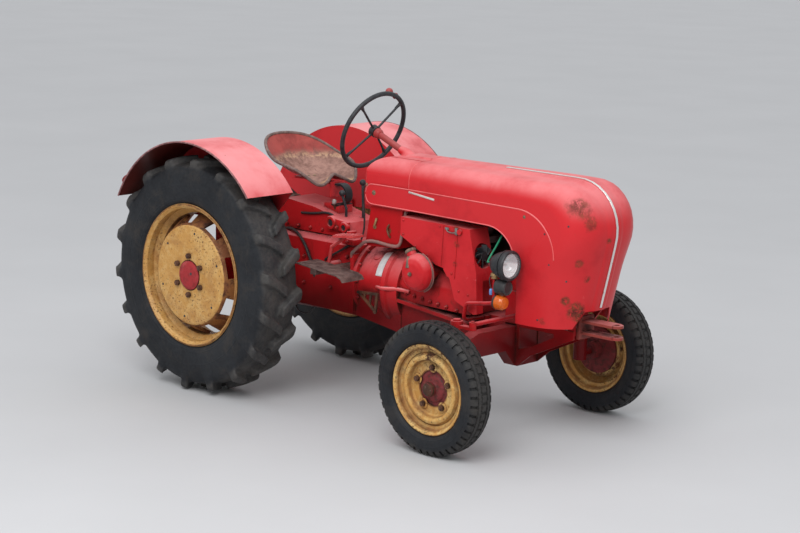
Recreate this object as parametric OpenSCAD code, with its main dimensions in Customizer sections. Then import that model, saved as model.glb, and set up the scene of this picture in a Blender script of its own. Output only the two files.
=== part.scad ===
// Vintage farm tractor: one long red hood, air-cooled engine, lugged rear wheels.
// X points forward, Y to the driver's left, Z up. Lengths are in millimetres.
// Inside this file x is counted from the rear axle; placed() centres the whole machine.

/* [Wheels and track] */
// Distance between the rear and front axles
wheelbase = 1680; // [1660:5:1700]
// Distance from the middle of the machine to the middle of a rear tyre
rear_half_track = 568.5; // [560:0.5:580]
// Distance from the middle of the machine to the middle of a front tyre
front_half_track = 620; // [610:1:632]
// Radius of a rear tyre over its lugs
rear_tyre_r = 618; // [612:1:622]
// Width of a rear tyre's lugged tread
rear_tread_w = 252; // [236:2:264]
// Height of a lug above the tread
lug_h = 36; // [28:1:42]
// Width of a lug
lug_w = 48; // [36:1:56]
// Number of lugs on one side of a rear tyre
lug_pairs = 18; // [16:1:20]
// Radius of a rear rim over its flanges
rear_rim_r = 375; // [368:1:382]
// Distance from a rear rim's middle to its outer flange
rear_rim_half_w = 125; // [118:1:128]
// Radius of a front tyre
front_tyre_r = 321; // [316:1:326]
// Width of a front tyre
front_tyre_w = 137; // [128:1:146]
// Radius of a front rim over its flanges
front_rim_r = 220.5; // [216:0.5:226]
// Distance from a front rim's middle to its outer flange
front_rim_half_w = 52; // [48:1:56]
// Lean of a front wheel, top outwards
camber = 1.7; // [0:0.1:2.5]
// Thickness of the pressed rims
rim_t = 7; // [5:0.5:9]

/* [Hood] */
// Height of the hood's top line
hood_top_z = 1287; // [1275:1:1300]
// Length of the hood from the tank to where the nose begins to turn
hood_len = 740; // [730:1:750]
// Distance from the front axle forward to the nose's rear edge
nose_set = 160; // [150:1:170]
// Radius of the nose's upper front
nose_arc_r = 220; // [205:1:235]
// Lean of the nose's front, foot backwards
front_lean = 13.5; // [12:0.5:15]
// Half width of the hood where it meets the tank
hood_rear_half_w = 205; // [200:1:210]
// Half width of the hood at the nose
hood_nose_half_w = 240; // [234:1:246]
// Radius of the hood's top corners over the engine
hood_corner_r = 92; // [80:1:105]
// Depth of the rounding from the nose's front to its sides
nose_round = 200; // [190:1:210]
// Thickness of the hood's sheet
hood_t = 4; // [3:0.5:6]
// Height of the raised ridge along the middle of the hood
ridge_h = 9; // [5:1:12]
// Half width of the ridge
ridge_half_w = 50; // [40:1:54]
// Height of the hood's lower edge along the engine
hood_side_z = 1050; // [1040:1:1058]
// Radius of the arch under the hood's side, behind the nose
arch_r = 190; // [180:1:200]
// Height of the nose's lower edge
nose_bottom_z = 604; // [596:1:620]
// How far the stamped band along the sides stands out
band_t = 5; // [4:0.5:7]
// Height of the stamped band
band_h = 106; // [100:1:112]
// How far the band reaches back over the tank
band_reach = 294; // [280:1:305]

/* [Tank and console] */
// Length of the tank behind the hood
tank_len = 325; // [310:1:340]
// Radius of the tank's rear edge seen from the side
tank_corner_r = 110; // [90:1:125]
// Radius of the tank's rear corners seen from above
tank_plan_r = 40; // [30:1:60]
// Height of the tank's underside
tank_bottom_z = 1040; // [1030:1:1050]
// Gap round the tank at the hood
tank_gap = 5; // [5:0.5:7]

/* [Engine and gearbox] */
// Where the gearbox ends behind the rear axle
gearbox_rear_x = -190; // [-205:1:-180]
// Half width of the gearbox
gearbox_half_w = 145; // [130:1:155]
// Distance from the crankcase's front to the middle of the front axle's beam
beam_gap = 170; // [165:1:175]
// Length of the clutch housing
bell_len = 320; // [310:1:325]
// Length of the crankcase
crankcase_len = 480; // [470:1:490]
// Half width of the crankcase
crankcase_half_w = 180; // [170:1:185]
// Height of the sump's underside
sump_z = 400; // [390:1:415]
// Height of the crankshaft
crank_z = 620; // [612:1:630]
// Radius of the cooling fins
fin_r = 88; // [80:1:92]
// Number of fins on a cylinder
fin_count = 9; // [6:1:11]
// Distance from the middle of the machine to the air shroud's outer face
shroud_y = 222; // [215:1:226]

/* [Front axle and steering] */
// Distance from the middle of the machine to a kingpin
kingpin_y = 470; // [462:1:480]
// Radius of a kingpin
kingpin_r = 18; // [15:0.5:20]
// Depth of the axle beam
beam_h = 116; // [100:2:122]
// Height of the axle beam's top
beam_top_z = 548; // [542:1:552]
// Length of the steering arms
steer_arm = 100; // [90:1:105]
// Radius of the tie rods
tie_r = 11; // [9:0.5:13]
// Radius of the steering wheel
wheel_r = 221; // [205:1:232]
// Slope of the steering column
column_slope = 22; // [20:0.5:25]

/* [Seat and fenders] */
// Half width of the seat pan
seat_half_w = 240; // [228:1:248]
// Half length of the seat pan
seat_half_len = 243; // [230:1:252]
// Radius of a fender
fender_r = 605; // [602:1:610]
// Distance from the middle of the machine to a fender's inner plate
fender_in_y = 425; // [415:1:425]
// Distance from the middle of the machine to a fender's outer edge
fender_out_y = 740; // [730:1:745]
// Thickness of the fender sheet
fender_t = 4; // [3:0.5:5]

/* [Lamps] */
// Radius of a headlamp
lamp_r = 72; // [66:1:78]
// Distance from the middle of the machine to a headlamp
lamp_y = 340; // [335:1:350]
// Height of a headlamp's middle
lamp_z = 900; // [890:1:910]

/* [Hidden] */
$fn = 48;

paint_red = "#b8232b";
paint_ochre = "#c79a45";
rubber_black = "#222324";
iron_brown = "#5f4a41";
soft_black = "#1d1d1f";
bright_metal = "#c9c9c4";
big = 3000;
seat_gap = 0.3;
turn_gap = 0.05;

// The whole machine is centred between its rearmost and foremost points.
hitch_tip_x = wheelbase + 617;
mid_x = (hitch_tip_x - rear_tyre_r) / 2;

// Places along the machine, from the front axle backwards.
crank_front_x = wheelbase - beam_gap;
bell_front_x = crank_front_x - crankcase_len;
bell_rear_x = bell_front_x - bell_len;
nose_rear_x = wheelbase + nose_set;
tank_front_x = nose_rear_x - hood_len;
tank_rear_x = tank_front_x - tank_gap - tank_len;

module placed() {
    translate([-mid_x, 0, 0]) children();
}

// A flat outline in x and z, given thickness from y0 to y1.
module side_slab(outline, y0, y1) {
    translate([0, y1, 0]) rotate([90, 0, 0]) linear_extrude(y1 - y0) polygon(outline);
}

module block(x0, x1, y0, y1, z0, z1) {
    translate([x0, y0, z0]) cube([x1 - x0, y1 - y0, z1 - z0]);
}

// A round bar from point a to point b.
module bar(a, b, r) {
    d = b - a;
    translate(a) rotate([0, acos(d[2] / norm(d)), atan2(d[1], d[0])]) cylinder(h = norm(d), r = r);
}

// Round bars along a list of points, with a slightly fuller ball at each corner.
module bent_bar(path, r) {
    for (i = [1:len(path) - 1]) bar(path[i - 1], path[i], r);
    for (i = [1:len(path) - 2]) translate(path[i]) sphere(1.08 * r);
}

// Rounds each inner corner of a path by a short curve that starts and ends d away from it.
function rounded(path, d) = [for (i = [0:len(path) - 1])
    each i == 0 || i == len(path) - 1 ? [path[i]]
    : let (c = path[i], a = path[i - 1] - c, b = path[i + 1] - c)
        [for (t = [0:0.25:1]) (1 - t) * (1 - t) * (c + d * a / norm(a)) + 2 * t * (1 - t) * c
            + t * t * (c + d * b / norm(b))]];

// A tube with n sides swept along a list of points; side is a direction that it never takes.
module swept_tube(path, r, n, side) {
    k = len(path);
    function heading(i) = let (d = path[min(k - 1, i + 1)] - path[max(0, i - 1)]) d / norm(d);
    function ring_point(i, j) = let (d = heading(i), c = cross(d, side), u = c / norm(c), v = cross(u, d))
        path[i] + r * (cos(j * 360 / n) * u + sin(j * 360 / n) * v);
    polyhedron(
        points = [for (i = [0:k - 1], j = [0:n - 1]) ring_point(i, j)],
        faces = concat(
            [for (i = [0:k - 2], j = [0:n - 1]) let (a = i * n + j, b = i * n + (j + 1) % n)
                each [[a, b, a + n], [b, b + n, a + n]]],
            [[for (j = [n - 1:-1:0]) j], [for (j = [0:n - 1]) (k - 1) * n + j]]));
}

// Lying cylinders along X and Y.
module x_disc(x, y, z, len_x, r) {
    translate([x, y, z]) rotate([0, 90, 0]) cylinder(h = len_x, r = r);
}
module y_disc(x, y, z, len_y, r) {
    translate([x, y, z]) rotate([-90, 0, 0]) cylinder(h = len_y, r = r);
}

// A wheel profile of [radius, distance outwards] points turned about its axle, on one side.
module turned_wheel(side, outline) {
    mirror([0, side < 0 ? 1 : 0, 0]) rotate([-90, 0, 0]) rotate_extrude($fn = 96)
        polygon(outline);
}

// Rear wheels
rear_z = rear_tyre_r;
carcass_r = rear_tyre_r - lug_h;
rear_bead_r = rear_rim_r - 19;
rear_bulge = rear_tread_w / 2 + 7;
rear_wall = carcass_r - rear_rim_r;

module at_rear(side) {
    placed() translate([0, side * rear_half_track, rear_z]) children();
}

function mirrored_pairs(half) = concat(half,
    [for (i = [len(half) - 1:-1:0]) [half[i][0], -half[i][1]]]);

// Half of the tyre's section from the bead to the crown, as [radius, distance from the middle].
rear_tyre_half = [
    [rear_bead_r + seat_gap, rear_rim_half_w - 15], [rear_rim_r + 6, rear_rim_half_w - 12.6],
    [rear_rim_r + 12, rear_bulge - 6], [rear_rim_r + 0.29 * rear_wall, rear_bulge + 1],
    [rear_rim_r + 0.51 * rear_wall, rear_bulge], [carcass_r - 42, rear_bulge - 8],
    [carcass_r - 14, rear_tread_w / 2 - 14], [carcass_r - 4, rear_tread_w / 2 - 50],
    [carcass_r, 0.2 * rear_tread_w]];

// The shell that all lugs fill, from the sidewall to the crown.
lug_shell_half = [
    [carcass_r - 60, rear_bulge - 16], [carcass_r - 60, rear_bulge - 2],
    [carcass_r - 30, rear_tread_w / 2 + 2], [rear_tyre_r - 24, rear_tread_w / 2],
    [rear_tyre_r - 8, rear_tread_w / 2 - 8], [rear_tyre_r - 2, rear_tread_w / 2 - 50],
    [rear_tyre_r, 0.15 * rear_tread_w]];

// One lug seen from outside the tread: it sweeps back from the middle to the shoulder.
lug_path = [[-12, 14], [rear_tread_w * 0.24, -34], [rear_bulge + 20, -86]];
lug_outline = [
    [lug_path[0][0], lug_path[0][1] + lug_w / 2 + 4], [lug_path[1][0], lug_path[1][1] + lug_w / 2],
    [lug_path[2][0], lug_path[2][1] + lug_w / 2 + 4], [lug_path[2][0], lug_path[2][1] - lug_w / 2],
    [lug_path[1][0] - 6, lug_path[1][1] - lug_w / 2 - 4], [lug_path[0][0], lug_path[0][1] - lug_w / 2]];

module lug_bars(side) {
    pitch = 360 / lug_pairs;
    for (i = [0:lug_pairs - 1], half = [0, 1])
        rotate([0, (i + half / 2) * pitch, 0]) mirror([0, half, 0])
            translate([0, 0, carcass_r - 62]) linear_extrude(lug_h + 70)
                polygon([for (p = lug_outline) [p[1], p[0]]]);
}

module rear_tyre(side) {
    color(rubber_black) at_rear(side) {
        turned_wheel(side, mirrored_pairs(rear_tyre_half));
        intersection() {
            turned_wheel(side, mirrored_pairs(lug_shell_half));
            lug_bars(side);
        }
    }
}

// The pressed rim and the dished disc that carries it.
rear_drop_r = rear_rim_r - 50;
rear_rim_half = [
    [rear_rim_r - 5, rear_rim_half_w], [rear_rim_r, rear_rim_half_w - 6],
    [rear_rim_r - 2, rear_rim_half_w - 12], [rear_bead_r, rear_rim_half_w - 14],
    [rear_bead_r, 62], [rear_drop_r + 4, 40]];
rear_rim_inside_half = [
    [rear_rim_r - 12, rear_rim_half_w], [rear_bead_r - rim_t, rear_rim_half_w - 16],
    [rear_bead_r - rim_t, 66], [rear_drop_r + 4 - rim_t, 42]];
rear_rim_outline = concat(mirrored_pairs(rear_rim_half),
    [for (p = rear_rim_inside_half) [p[0], -p[1]]],
    [for (i = [len(rear_rim_inside_half) - 1:-1:0]) rear_rim_inside_half[i]]);
disc_face_w = rear_rim_half_w - 10;
disc_face_r = rear_rim_r - 112;
disc_holes = 8;
rear_pcd_r = 102.5;
rear_studs = 6;
hub_bore_r = 80.5;

module rear_rim(side) {
    dish = [
        [hub_bore_r, disc_face_w], [disc_face_r - 14, disc_face_w],
        [disc_face_r, disc_face_w - 8], [disc_face_r + 10, disc_face_w - 24],
        [rear_drop_r + 5 - rim_t, 10], [rear_drop_r + 5 - rim_t, -4],
        [rear_drop_r - rim_t - 10, -4], [disc_face_r - 1, disc_face_w - 28],
        [disc_face_r - 8, disc_face_w - 14], [disc_face_r - 20, disc_face_w - 10],
        [hub_bore_r, disc_face_w - 10]];
    color(paint_ochre) at_rear(side) {
        turned_wheel(side, rear_rim_outline);
        difference() {
            turned_wheel(side, dish);
            for (i = [0:disc_holes - 1]) rotate([0, 30 + i * 360 / disc_holes, 0])
                translate([0, side * 36, rear_drop_r - 30]) rotate([side * 62, 0, 0])
                    cylinder(h = 120, r = 56, center = true, $fn = 32);
            for (i = [0:rear_studs - 1]) rotate([0, i * 360 / rear_studs, 0])
                translate([0, 0, rear_pcd_r]) rotate([90, 0, 0])
                    cylinder(h = 3 * rear_rim_half_w, r = 11, center = true, $fn = 24);
        }
    }
}

// The hub: a flange behind the disc, a round nose through it, studs and nuts.
module rear_hub(side) {
    color(paint_red) at_rear(side) {
        turned_wheel(side, [
            [0, disc_face_w - 150], [78, disc_face_w - 150], [84, disc_face_w - 40],
            [130, disc_face_w - 24], [130, disc_face_w - 10 - seat_gap],
            [76, disc_face_w - 10 - seat_gap], [76, disc_face_w + 4], [60, disc_face_w + 12],
            [0, disc_face_w + 14]]);
        mirror([0, side < 0 ? 1 : 0, 0])
            for (i = [0:rear_studs - 1]) rotate([0, i * 360 / rear_studs, 0]) {
                y_disc(0, disc_face_w - 30, rear_pcd_r, 50, 8);
                y_disc(0, disc_face_w + seat_gap, rear_pcd_r, 16, 15, $fn = 6);
            }
    }
}

// Front wheels, leaning by the camber about the point where they stand
crown_r = 150;
front_z = (front_tyre_r - crown_r) * cos(camber) + crown_r;
front_bead_r = front_rim_r - 17;
front_drop_r = front_rim_r - 38;

module at_front(side) {
    placed() translate([wheelbase, side * front_half_track, front_z])
        rotate([-side * camber, 0, 0]) children();
}

front_wall = front_tyre_r - front_rim_r;
front_tyre_half = [
    [front_bead_r + seat_gap, front_rim_half_w - 9], [front_rim_r + 1, front_rim_half_w - 4.6],
    [front_rim_r + 0.1 * front_wall, front_tyre_w / 2 - 5],
    [front_rim_r + 0.34 * front_wall, front_tyre_w / 2],
    [front_rim_r + 0.6 * front_wall, front_tyre_w / 2 - 1],
    [front_rim_r + 0.8 * front_wall, front_tyre_w / 2 - 6],
    [front_tyre_r - 8, front_tyre_w / 2 - 16], [front_tyre_r - 4, front_tyre_w / 2 - 26],
    [front_tyre_r - 8, front_tyre_w / 2 - 28], [front_tyre_r - 8, front_tyre_w / 2 - 32],
    [front_tyre_r - 2.6, front_tyre_w / 2 - 34], [front_tyre_r - 1.2, front_tyre_w / 2 - 48],
    [front_tyre_r - 8, front_tyre_w / 2 - 50], [front_tyre_r - 8, front_tyre_w / 2 - 54],
    [front_tyre_r - 0.6, front_tyre_w / 2 - 56]];

module front_tyre(side) {
    color(rubber_black) at_front(side) turned_wheel(side, mirrored_pairs(front_tyre_half));
}

front_rim_half = [
    [front_rim_r - 4, front_rim_half_w], [front_rim_r, front_rim_half_w - 4],
    [front_bead_r, front_rim_half_w - 8], [front_bead_r, 26], [front_drop_r, 18]];
front_rim_inside_half = [
    [front_rim_r - 9, front_rim_half_w], [front_bead_r - rim_t, front_rim_half_w - 10],
    [front_bead_r - rim_t, 28], [front_drop_r - rim_t, 20]];
front_rim_outline = concat(mirrored_pairs(front_rim_half),
    [for (p = front_rim_inside_half) [p[0], -p[1]]],
    [for (i = [len(front_rim_inside_half) - 1:-1:0]) front_rim_inside_half[i]]);
front_pcd_r = 102.5;
front_studs = 5;
front_face_w = 4;
bulge_w = front_rim_half_w - 14;

module front_rim(side) {
    disc = [
        [86, front_face_w], [126, front_face_w], [134, front_face_w + 10],
        [142, bulge_w - 4], [152, bulge_w], [164, bulge_w - 4], [front_drop_r - rim_t + 1, 14],
        [front_drop_r - rim_t + 1, 6], [162, bulge_w - 14], [152, bulge_w - 8],
        [148, bulge_w - 12], [138, front_face_w - 4], [130, front_face_w - 6],
        [86, front_face_w - 6]];
    color(paint_ochre) at_front(side) {
        turned_wheel(side, front_rim_outline);
        difference() {
            turned_wheel(side, disc);
            for (i = [0:front_studs - 1]) rotate([0, i * 360 / front_studs, 0])
                translate([0, 0, front_pcd_r]) rotate([90, 0, 0])
                    cylinder(h = 3 * front_rim_half_w, r = 10, center = true, $fn = 24);
        }
    }
}

spindle_r = 20;

module front_hub(side) {
    back_w = front_face_w - 6 - seat_gap;
    color(paint_red) at_front(side) {
        turned_wheel(side, [
            [spindle_r + turn_gap, back_w - 70], [42, back_w - 70], [46, back_w - 20],
            [122, back_w - 14], [122, back_w], [70, back_w], [62, back_w + 8],
            [38, back_w + 14], [32, back_w + 20], [32, back_w + 48], [0, back_w + 52],
            [0, back_w + 42], [spindle_r + turn_gap, back_w + 42]]);
        mirror([0, side < 0 ? 1 : 0, 0])
            for (i = [0:front_studs - 1]) rotate([0, i * 360 / front_studs, 0]) {
                y_disc(0, back_w - 8, front_pcd_r, 34, 7);
                y_disc(0, front_face_w + seat_gap, front_pcd_r, 16, 14, $fn = 6);
            }
    }
}

// Front axle beam with a boss for each kingpin
beam_x = wheelbase;
beam_half_t = 34;
beam_bottom_z = beam_top_z - beam_h;
pivot_drop = 82;
boss_r = 36;
boss_top_z = beam_top_z + 44;
boss_bottom_z = front_z + 72;
arm_z = boss_top_z + 0.5;
arm_t = 15;
rod_z = arm_z + arm_t + 0.5;
rod_t = 24;
pin_r = 8;
pivot_pin_z = beam_bottom_z + 2;

module front_axle() {
    outline = [
        [-kingpin_y, beam_top_z - 40], [-kingpin_y + 120, beam_top_z],
        [kingpin_y - 120, beam_top_z], [kingpin_y, beam_top_z - 40],
        [kingpin_y, beam_bottom_z + 4], [kingpin_y - 70, beam_bottom_z],
        [150, beam_bottom_z], [80, beam_bottom_z - pivot_drop],
        [-80, beam_bottom_z - pivot_drop], [-150, beam_bottom_z],
        [-kingpin_y + 70, beam_bottom_z], [-kingpin_y, beam_bottom_z + 4]];
    color(paint_red) placed() difference() {
        union() {
            translate([beam_x - beam_half_t, 0, 0]) rotate([90, 0, 90])
                linear_extrude(2 * beam_half_t) polygon(outline);
            for (side = [-1, 1]) translate([beam_x, side * kingpin_y, boss_bottom_z])
                cylinder(h = boss_top_z - boss_bottom_z, r = boss_r);
        }
        for (side = [-1, 1]) translate([beam_x, side * kingpin_y, 0])
            cylinder(h = big, r = kingpin_r + turn_gap);
        x_disc(beam_x - big / 2, 0, pivot_pin_z - 40, big, 16 + seat_gap);
    }
}

// Steering knuckles: the kingpin, the arm on top of it and the wheel's spindle below
module knuckle(side) {
    color(paint_red) placed() {
        translate([beam_x, side * kingpin_y, front_z]) {
            translate([0, 0, -30]) cylinder(h = boss_bottom_z - front_z + 29.5, r = 34);
            cylinder(h = arm_z + 40 - front_z, r = kingpin_r);
        }
        translate([beam_x, side * kingpin_y, arm_z]) {
            cylinder(h = 32, r = 30);
            block(0, steer_arm, -16, 16, 0, arm_t);
            translate([steer_arm, 0, 0]) cylinder(h = arm_t, r = 18);
            translate([steer_arm, 0, 0]) cylinder(h = arm_t + rod_t + 6, r = pin_r);
        }
    }
    color(paint_red) at_front(side) mirror([0, side < 0 ? 1 : 0, 0])
        y_disc(0, kingpin_y - front_half_track, 0, front_half_track - kingpin_y + 34, spindle_r);
}

// A tie rod runs from a knuckle's arm to the drop arm in the middle
module tie_rod(side) {
    eye_z = side > 0 ? rod_z + rod_t + 0.5 : rod_z;
    color(paint_red) placed() translate([beam_x + steer_arm, 0, 0]) difference() {
        union() {
            translate([0, side * kingpin_y, rod_z]) cylinder(h = rod_t, r = 18);
            bar([0, side * (kingpin_y - 10), rod_z + rod_t / 2], [0, side * 34, rod_z + rod_t / 2], tie_r);
            translate([0, 0, eye_z]) cylinder(h = rod_t, r = 18);
            if (side > 0) {
                block(-10, 10, 24, 40, rod_z, eye_z + rod_t);
                block(-10, 10, 0, 30, eye_z, eye_z + rod_t);
            }
            else block(-10, 10, -36, 0, rod_z, rod_z + rod_t);
        }
        for (y = [0, side * kingpin_y]) translate([0, y, 0]) cylinder(h = big, r = pin_r + turn_gap);
    }
}

module drop_arm() {
    color(paint_red) placed() translate([beam_x, 0, arm_z]) {
        cylinder(h = 60, r = 24);
        block(0, steer_arm, -16, 16, 0, arm_t);
        translate([steer_arm, 0, 0]) cylinder(h = arm_t, r = 18);
        translate([steer_arm, 0, 0]) cylinder(h = arm_t + 2 * rod_t + 8, r = pin_r);
    }
}

// Engine, clutch housing and gearbox
deck_z = crank_z + 140;

bell_ridge_r = 226;
cover_line = [[gearbox_rear_x + 530, 962], [bell_rear_x - 135, 905]];
function cover_top(x) = cover_line[0][1]
    + (x - cover_line[0][0]) * (cover_line[1][1] - cover_line[0][1]) / (cover_line[1][0] - cover_line[0][0]);

module gearbox() {
    main_outline = [
        [gearbox_rear_x, 480], [gearbox_rear_x, 790], [gearbox_rear_x + 60, 830],
        [bell_rear_x - 60, 830], [bell_rear_x, crank_z + 190], [bell_rear_x, crank_z - 180],
        [bell_rear_x - 180, sump_z + 45], [gearbox_rear_x + 180, sump_z + 10],
        [gearbox_rear_x + 40, 430]];
    cover_outline = [
        [gearbox_rear_x + 90, 829], [gearbox_rear_x + 130, 930], [gearbox_rear_x + 300, 985],
        cover_line[0], cover_line[1], [bell_rear_x - 90, 829]];
    color(paint_red) placed() {
        intersection() {
            side_slab(main_outline, -gearbox_half_w, gearbox_half_w);
            translate([gearbox_rear_x, 0, crank_z]) rotate([0, 90, 0]) cylinder(h = big, r = 228, $fn = 96);
        }
        side_slab(cover_outline, -112, 112);
        block(bell_rear_x - 26, bell_rear_x, -190, 190, crank_z - 150, crank_z + 150);
    }
}

module bell_housing() {
    // Profile as [radius, distance from the rear face], turned about the crankshaft
    shell = [
        [0, 0], [205, 0], [205, 22], [186, 26], [190, 120], [212, bell_len - 110],
        [bell_ridge_r, bell_len - 96], [bell_ridge_r, bell_len - 70], [214, bell_len - 60],
        [206, bell_len], [0, bell_len]];
    foot = [
        [0, crank_z - 60], [bell_len, crank_z - 66], [bell_len, sump_z + 6],
        [bell_len - 60, sump_z + 16], [40, sump_z + 46], [0, crank_z - 170]];
    color(paint_red) placed() translate([bell_rear_x, 0, 0]) {
        translate([0, 0, crank_z]) rotate([0, 90, 0]) rotate_extrude($fn = 96) polygon(shell);
        side_slab(foot, -crankcase_half_w + 12, crankcase_half_w - 12);
    }
}

// The filter bowl sits on a round boss on the crankcase's right side.
bowl_x = bell_front_x + 190;
bowl_z = deck_z;
bowl_seat_y = -crankcase_half_w - 2;
bowl_r = 94;

module crankcase() {
    rib_drop = 50;
    upper = [
        [-crankcase_half_w, crank_z - 40], [-crankcase_half_w, crank_z + 60],
        [-crankcase_half_w + 40, deck_z], [crankcase_half_w - 40, deck_z],
        [crankcase_half_w, crank_z + 60], [crankcase_half_w, crank_z - 40]];
    sump = [
        [0, crank_z - 30], [crankcase_len, crank_z - 30 - rib_drop],
        [crankcase_len, sump_z + 30], [crankcase_len - 60, sump_z],
        [40, sump_z], [0, sump_z + 12]];
    rib = [
        [0, crank_z - 28], [crankcase_len, crank_z - 28 - rib_drop],
        [crankcase_len, crank_z - 46 - rib_drop], [0, crank_z - 46]];
    color(paint_red) placed() translate([bell_front_x, 0, 0]) {
        rotate([90, 0, 90]) linear_extrude(crankcase_len) polygon(upper);
        side_slab(sump, -crankcase_half_w + 16, crankcase_half_w - 16);
        side_slab(rib, -crankcase_half_w - 22, crankcase_half_w + 22);
        y_disc(bowl_x - bell_front_x, bowl_seat_y, bowl_z - 15, 86, 46);
    }
}

cylinder_x = [bell_front_x + 135, bell_front_x + 335];
fin_pitch = 15;
fin_t = 6;

module cylinders() {
    barrel_h = fin_count * fin_pitch + 10;
    barrel = concat([[0, 0], [fin_r - 22, 0]],
        [for (i = [0:fin_count - 1], p = [[-22, 6], [0, 6], [0, 6 + fin_t], [-22, 6 + fin_t]])
            [fin_r + p[0], i * fin_pitch + p[1]]],
        [[fin_r - 22, barrel_h], [0, barrel_h]]);
    color("#8c8a86") placed() for (x = cylinder_x) translate([x, 0, deck_z]) {
        rotate_extrude() polygon(barrel);
        block(-82, 82, -92, 92, barrel_h, barrel_h + 34);
        block(-60, 60, -70, 70, barrel_h + 34, barrel_h + 74);
    }
}

// Sheet shroud that leads the blower's air round the cylinders on the right side
shroud_in_y = 96;
shroud_top_z = hood_side_z - 34;
fan_x = bell_front_x + 500;
fan_y = -160;
fan_z = 880;

module cooling_shroud() {
    rear_panel = [
        [bell_front_x + 36, shroud_top_z], [bell_front_x + 36, 922], [bell_front_x + 240, 826],
        [bell_front_x + 280, 806], [bell_front_x + 336, 797], [bell_front_x + 336, shroud_top_z - 2]];
    scroll = [
        [bell_front_x + 334, shroud_top_z - 3], [bell_front_x + 334, 794],
        [bell_front_x + 360, deck_z + seat_gap], [crank_front_x + 70, deck_z + seat_gap],
        [crank_front_x + 70, 800], [crank_front_x + 20, shroud_top_z - 4]];
    scroll_foot = [
        [bell_front_x + 350, 795], [bell_front_x + 380, deck_z - 15], [bell_front_x + 412, 652],
        [bell_front_x + 538, 598], [bell_front_x + 560, 604], [crank_front_x + 70, deck_z + 30]];
    color(paint_red) placed() {
        side_slab(rear_panel, -shroud_y, -shroud_in_y);
        difference() {
            union() {
                side_slab(scroll, -shroud_y - 6, -shroud_in_y);
                side_slab(scroll_foot, -shroud_y - 6, -crankcase_half_w - 1);
            }
            x_disc(fan_x, fan_y, fan_z, 200, 60);
        }
        y_disc(bell_front_x + 440, -shroud_y - 16, shroud_top_z - 24, 12, 14);
    }
}

module fan() {
    color(soft_black) placed() translate([fan_x + seat_gap, fan_y, fan_z]) rotate([0, 90, 0]) {
        cylinder(h = 40, r = 22);
        for (i = [0:7]) rotate([0, 0, i * 45]) translate([18, 0, 20]) rotate([35, 0, 0])
            cube([36, 3, 26]);
    }
}

module filter_bowl() {
    profile = [
        [0, 0], [44, 0], [48, 30], [58, 46], [bowl_r - 2, 50], [bowl_r, 56], [bowl_r, 74],
        [bowl_r - 6, 94], [bowl_r - 22, 110], [bowl_r - 48, 119], [0, 123]];
    color(paint_red) placed() translate([bowl_x, bowl_seat_y - seat_gap, bowl_z]) {
        rotate([90, 0, 0]) rotate_extrude(convexity = 4) polygon(profile);
        rotate([0, -32, 0]) translate([0, -62, bowl_r - 12]) cylinder(h = 30, r = 24);
    }
}

// Front support: a channel from the crankcase to the nose, with plates each side of the beam
support_top_z = beam_top_z + 28;
support_half_w = 78;

module front_support() {
    plate_t = 14;
    rear_leg = beam_x - beam_half_t - plate_t - 1;
    front_leg = beam_x + beam_half_t + 1;
    brace = [
        [front_leg, support_top_z], [front_leg, beam_bottom_z - pivot_drop],
        [front_leg + plate_t, beam_bottom_z - pivot_drop], [front_leg + 90, beam_bottom_z - 20],
        [hitch_x, beam_top_z - 12], [hitch_x, support_top_z]];
    window = [
        [front_leg + 20, beam_top_z - 2], [front_leg + 20, beam_bottom_z + 4],
        [front_leg + 100, beam_bottom_z + 30], [hitch_x - 120, beam_top_z - 20],
        [hitch_x - 120, beam_top_z - 2]];
    hinge_plate = [
        [hitch_x - 40, support_top_z - 1], [hitch_x, support_top_z - 1], [hitch_x, support_top_z + 24],
        [hitch_x + 13, support_top_z + 50], [hinge_x + 10, hinge_z - 8],
        [hinge_x + 4, hinge_z + 12], [hinge_x - 10, hinge_z + 8], [hitch_x - 1, support_top_z + 66]];
    color(paint_red) placed() difference() {
        union() {
            block(crank_front_x, hitch_x, -support_half_w, support_half_w, beam_top_z + 8, support_top_z);
            block(crank_front_x, rear_leg + plate_t, -support_half_w, support_half_w, sump_z + 60, support_top_z);
            block(rear_leg, rear_leg + plate_t, -60, 60, beam_bottom_z - pivot_drop, support_top_z);
            side_slab(brace, -support_half_w, -support_half_w + 10);
            side_slab(brace, support_half_w - 10, support_half_w);
            block(front_leg, front_leg + plate_t, -support_half_w, support_half_w, beam_bottom_z - pivot_drop, support_top_z);
            x_disc(rear_leg, 0, pivot_pin_z - 40, 2 * (beam_half_t + plate_t + 1), 16);
            for (s = [-1, 1]) mirror([0, s < 0 ? 1 : 0, 0])
                side_slab(hinge_plate, hinge_plate_y, hinge_plate_y + hinge_plate_t);
            y_disc(hinge_x, -lug_y - lug_t - 6, hinge_z, 2 * (lug_y + lug_t + 6), hinge_r);
        }
        side_slab(window, -big, big);
    }
}

hitch_x = wheelbase + 390;
hitch_z = support_top_z + 20;

// Clevis at the nose: two eyes, one above the other
module front_hitch() {
    ear_t = 14;
    gap = 42;
    tip_r = 32;
    color(iron_brown) placed() translate([hitch_x, 0, hitch_z]) difference() {
        union() {
            block(0, 16, -56, 56, -58, 52);
            for (z = [-gap / 2 - ear_t, gap / 2]) {
                block(0, hitch_tip_x - hitch_x - tip_r, -38, 38, z, z + ear_t);
                translate([hitch_tip_x - hitch_x - tip_r, 0, z]) cylinder(h = ear_t, r = tip_r);
            }
        }
        translate([hitch_tip_x - hitch_x - tip_r, 0, -big / 2]) cylinder(h = big, r = 14);
    }
}

// Steering box on the front support, with the shaft that comes forward over the engine
hub_back = 113;
hub_rise = 99;
column_top = [tank_rear_x - hub_back, 0, hood_top_z + hub_rise];
column_r = 17;
column_dir = [cos(column_slope), 0, -sin(column_slope)];
function on_column(x) = column_top + column_dir * (x - column_top[0]) / column_dir[0];
box_z0 = arm_z + 60 + seat_gap;

gear_r = 46;

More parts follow.
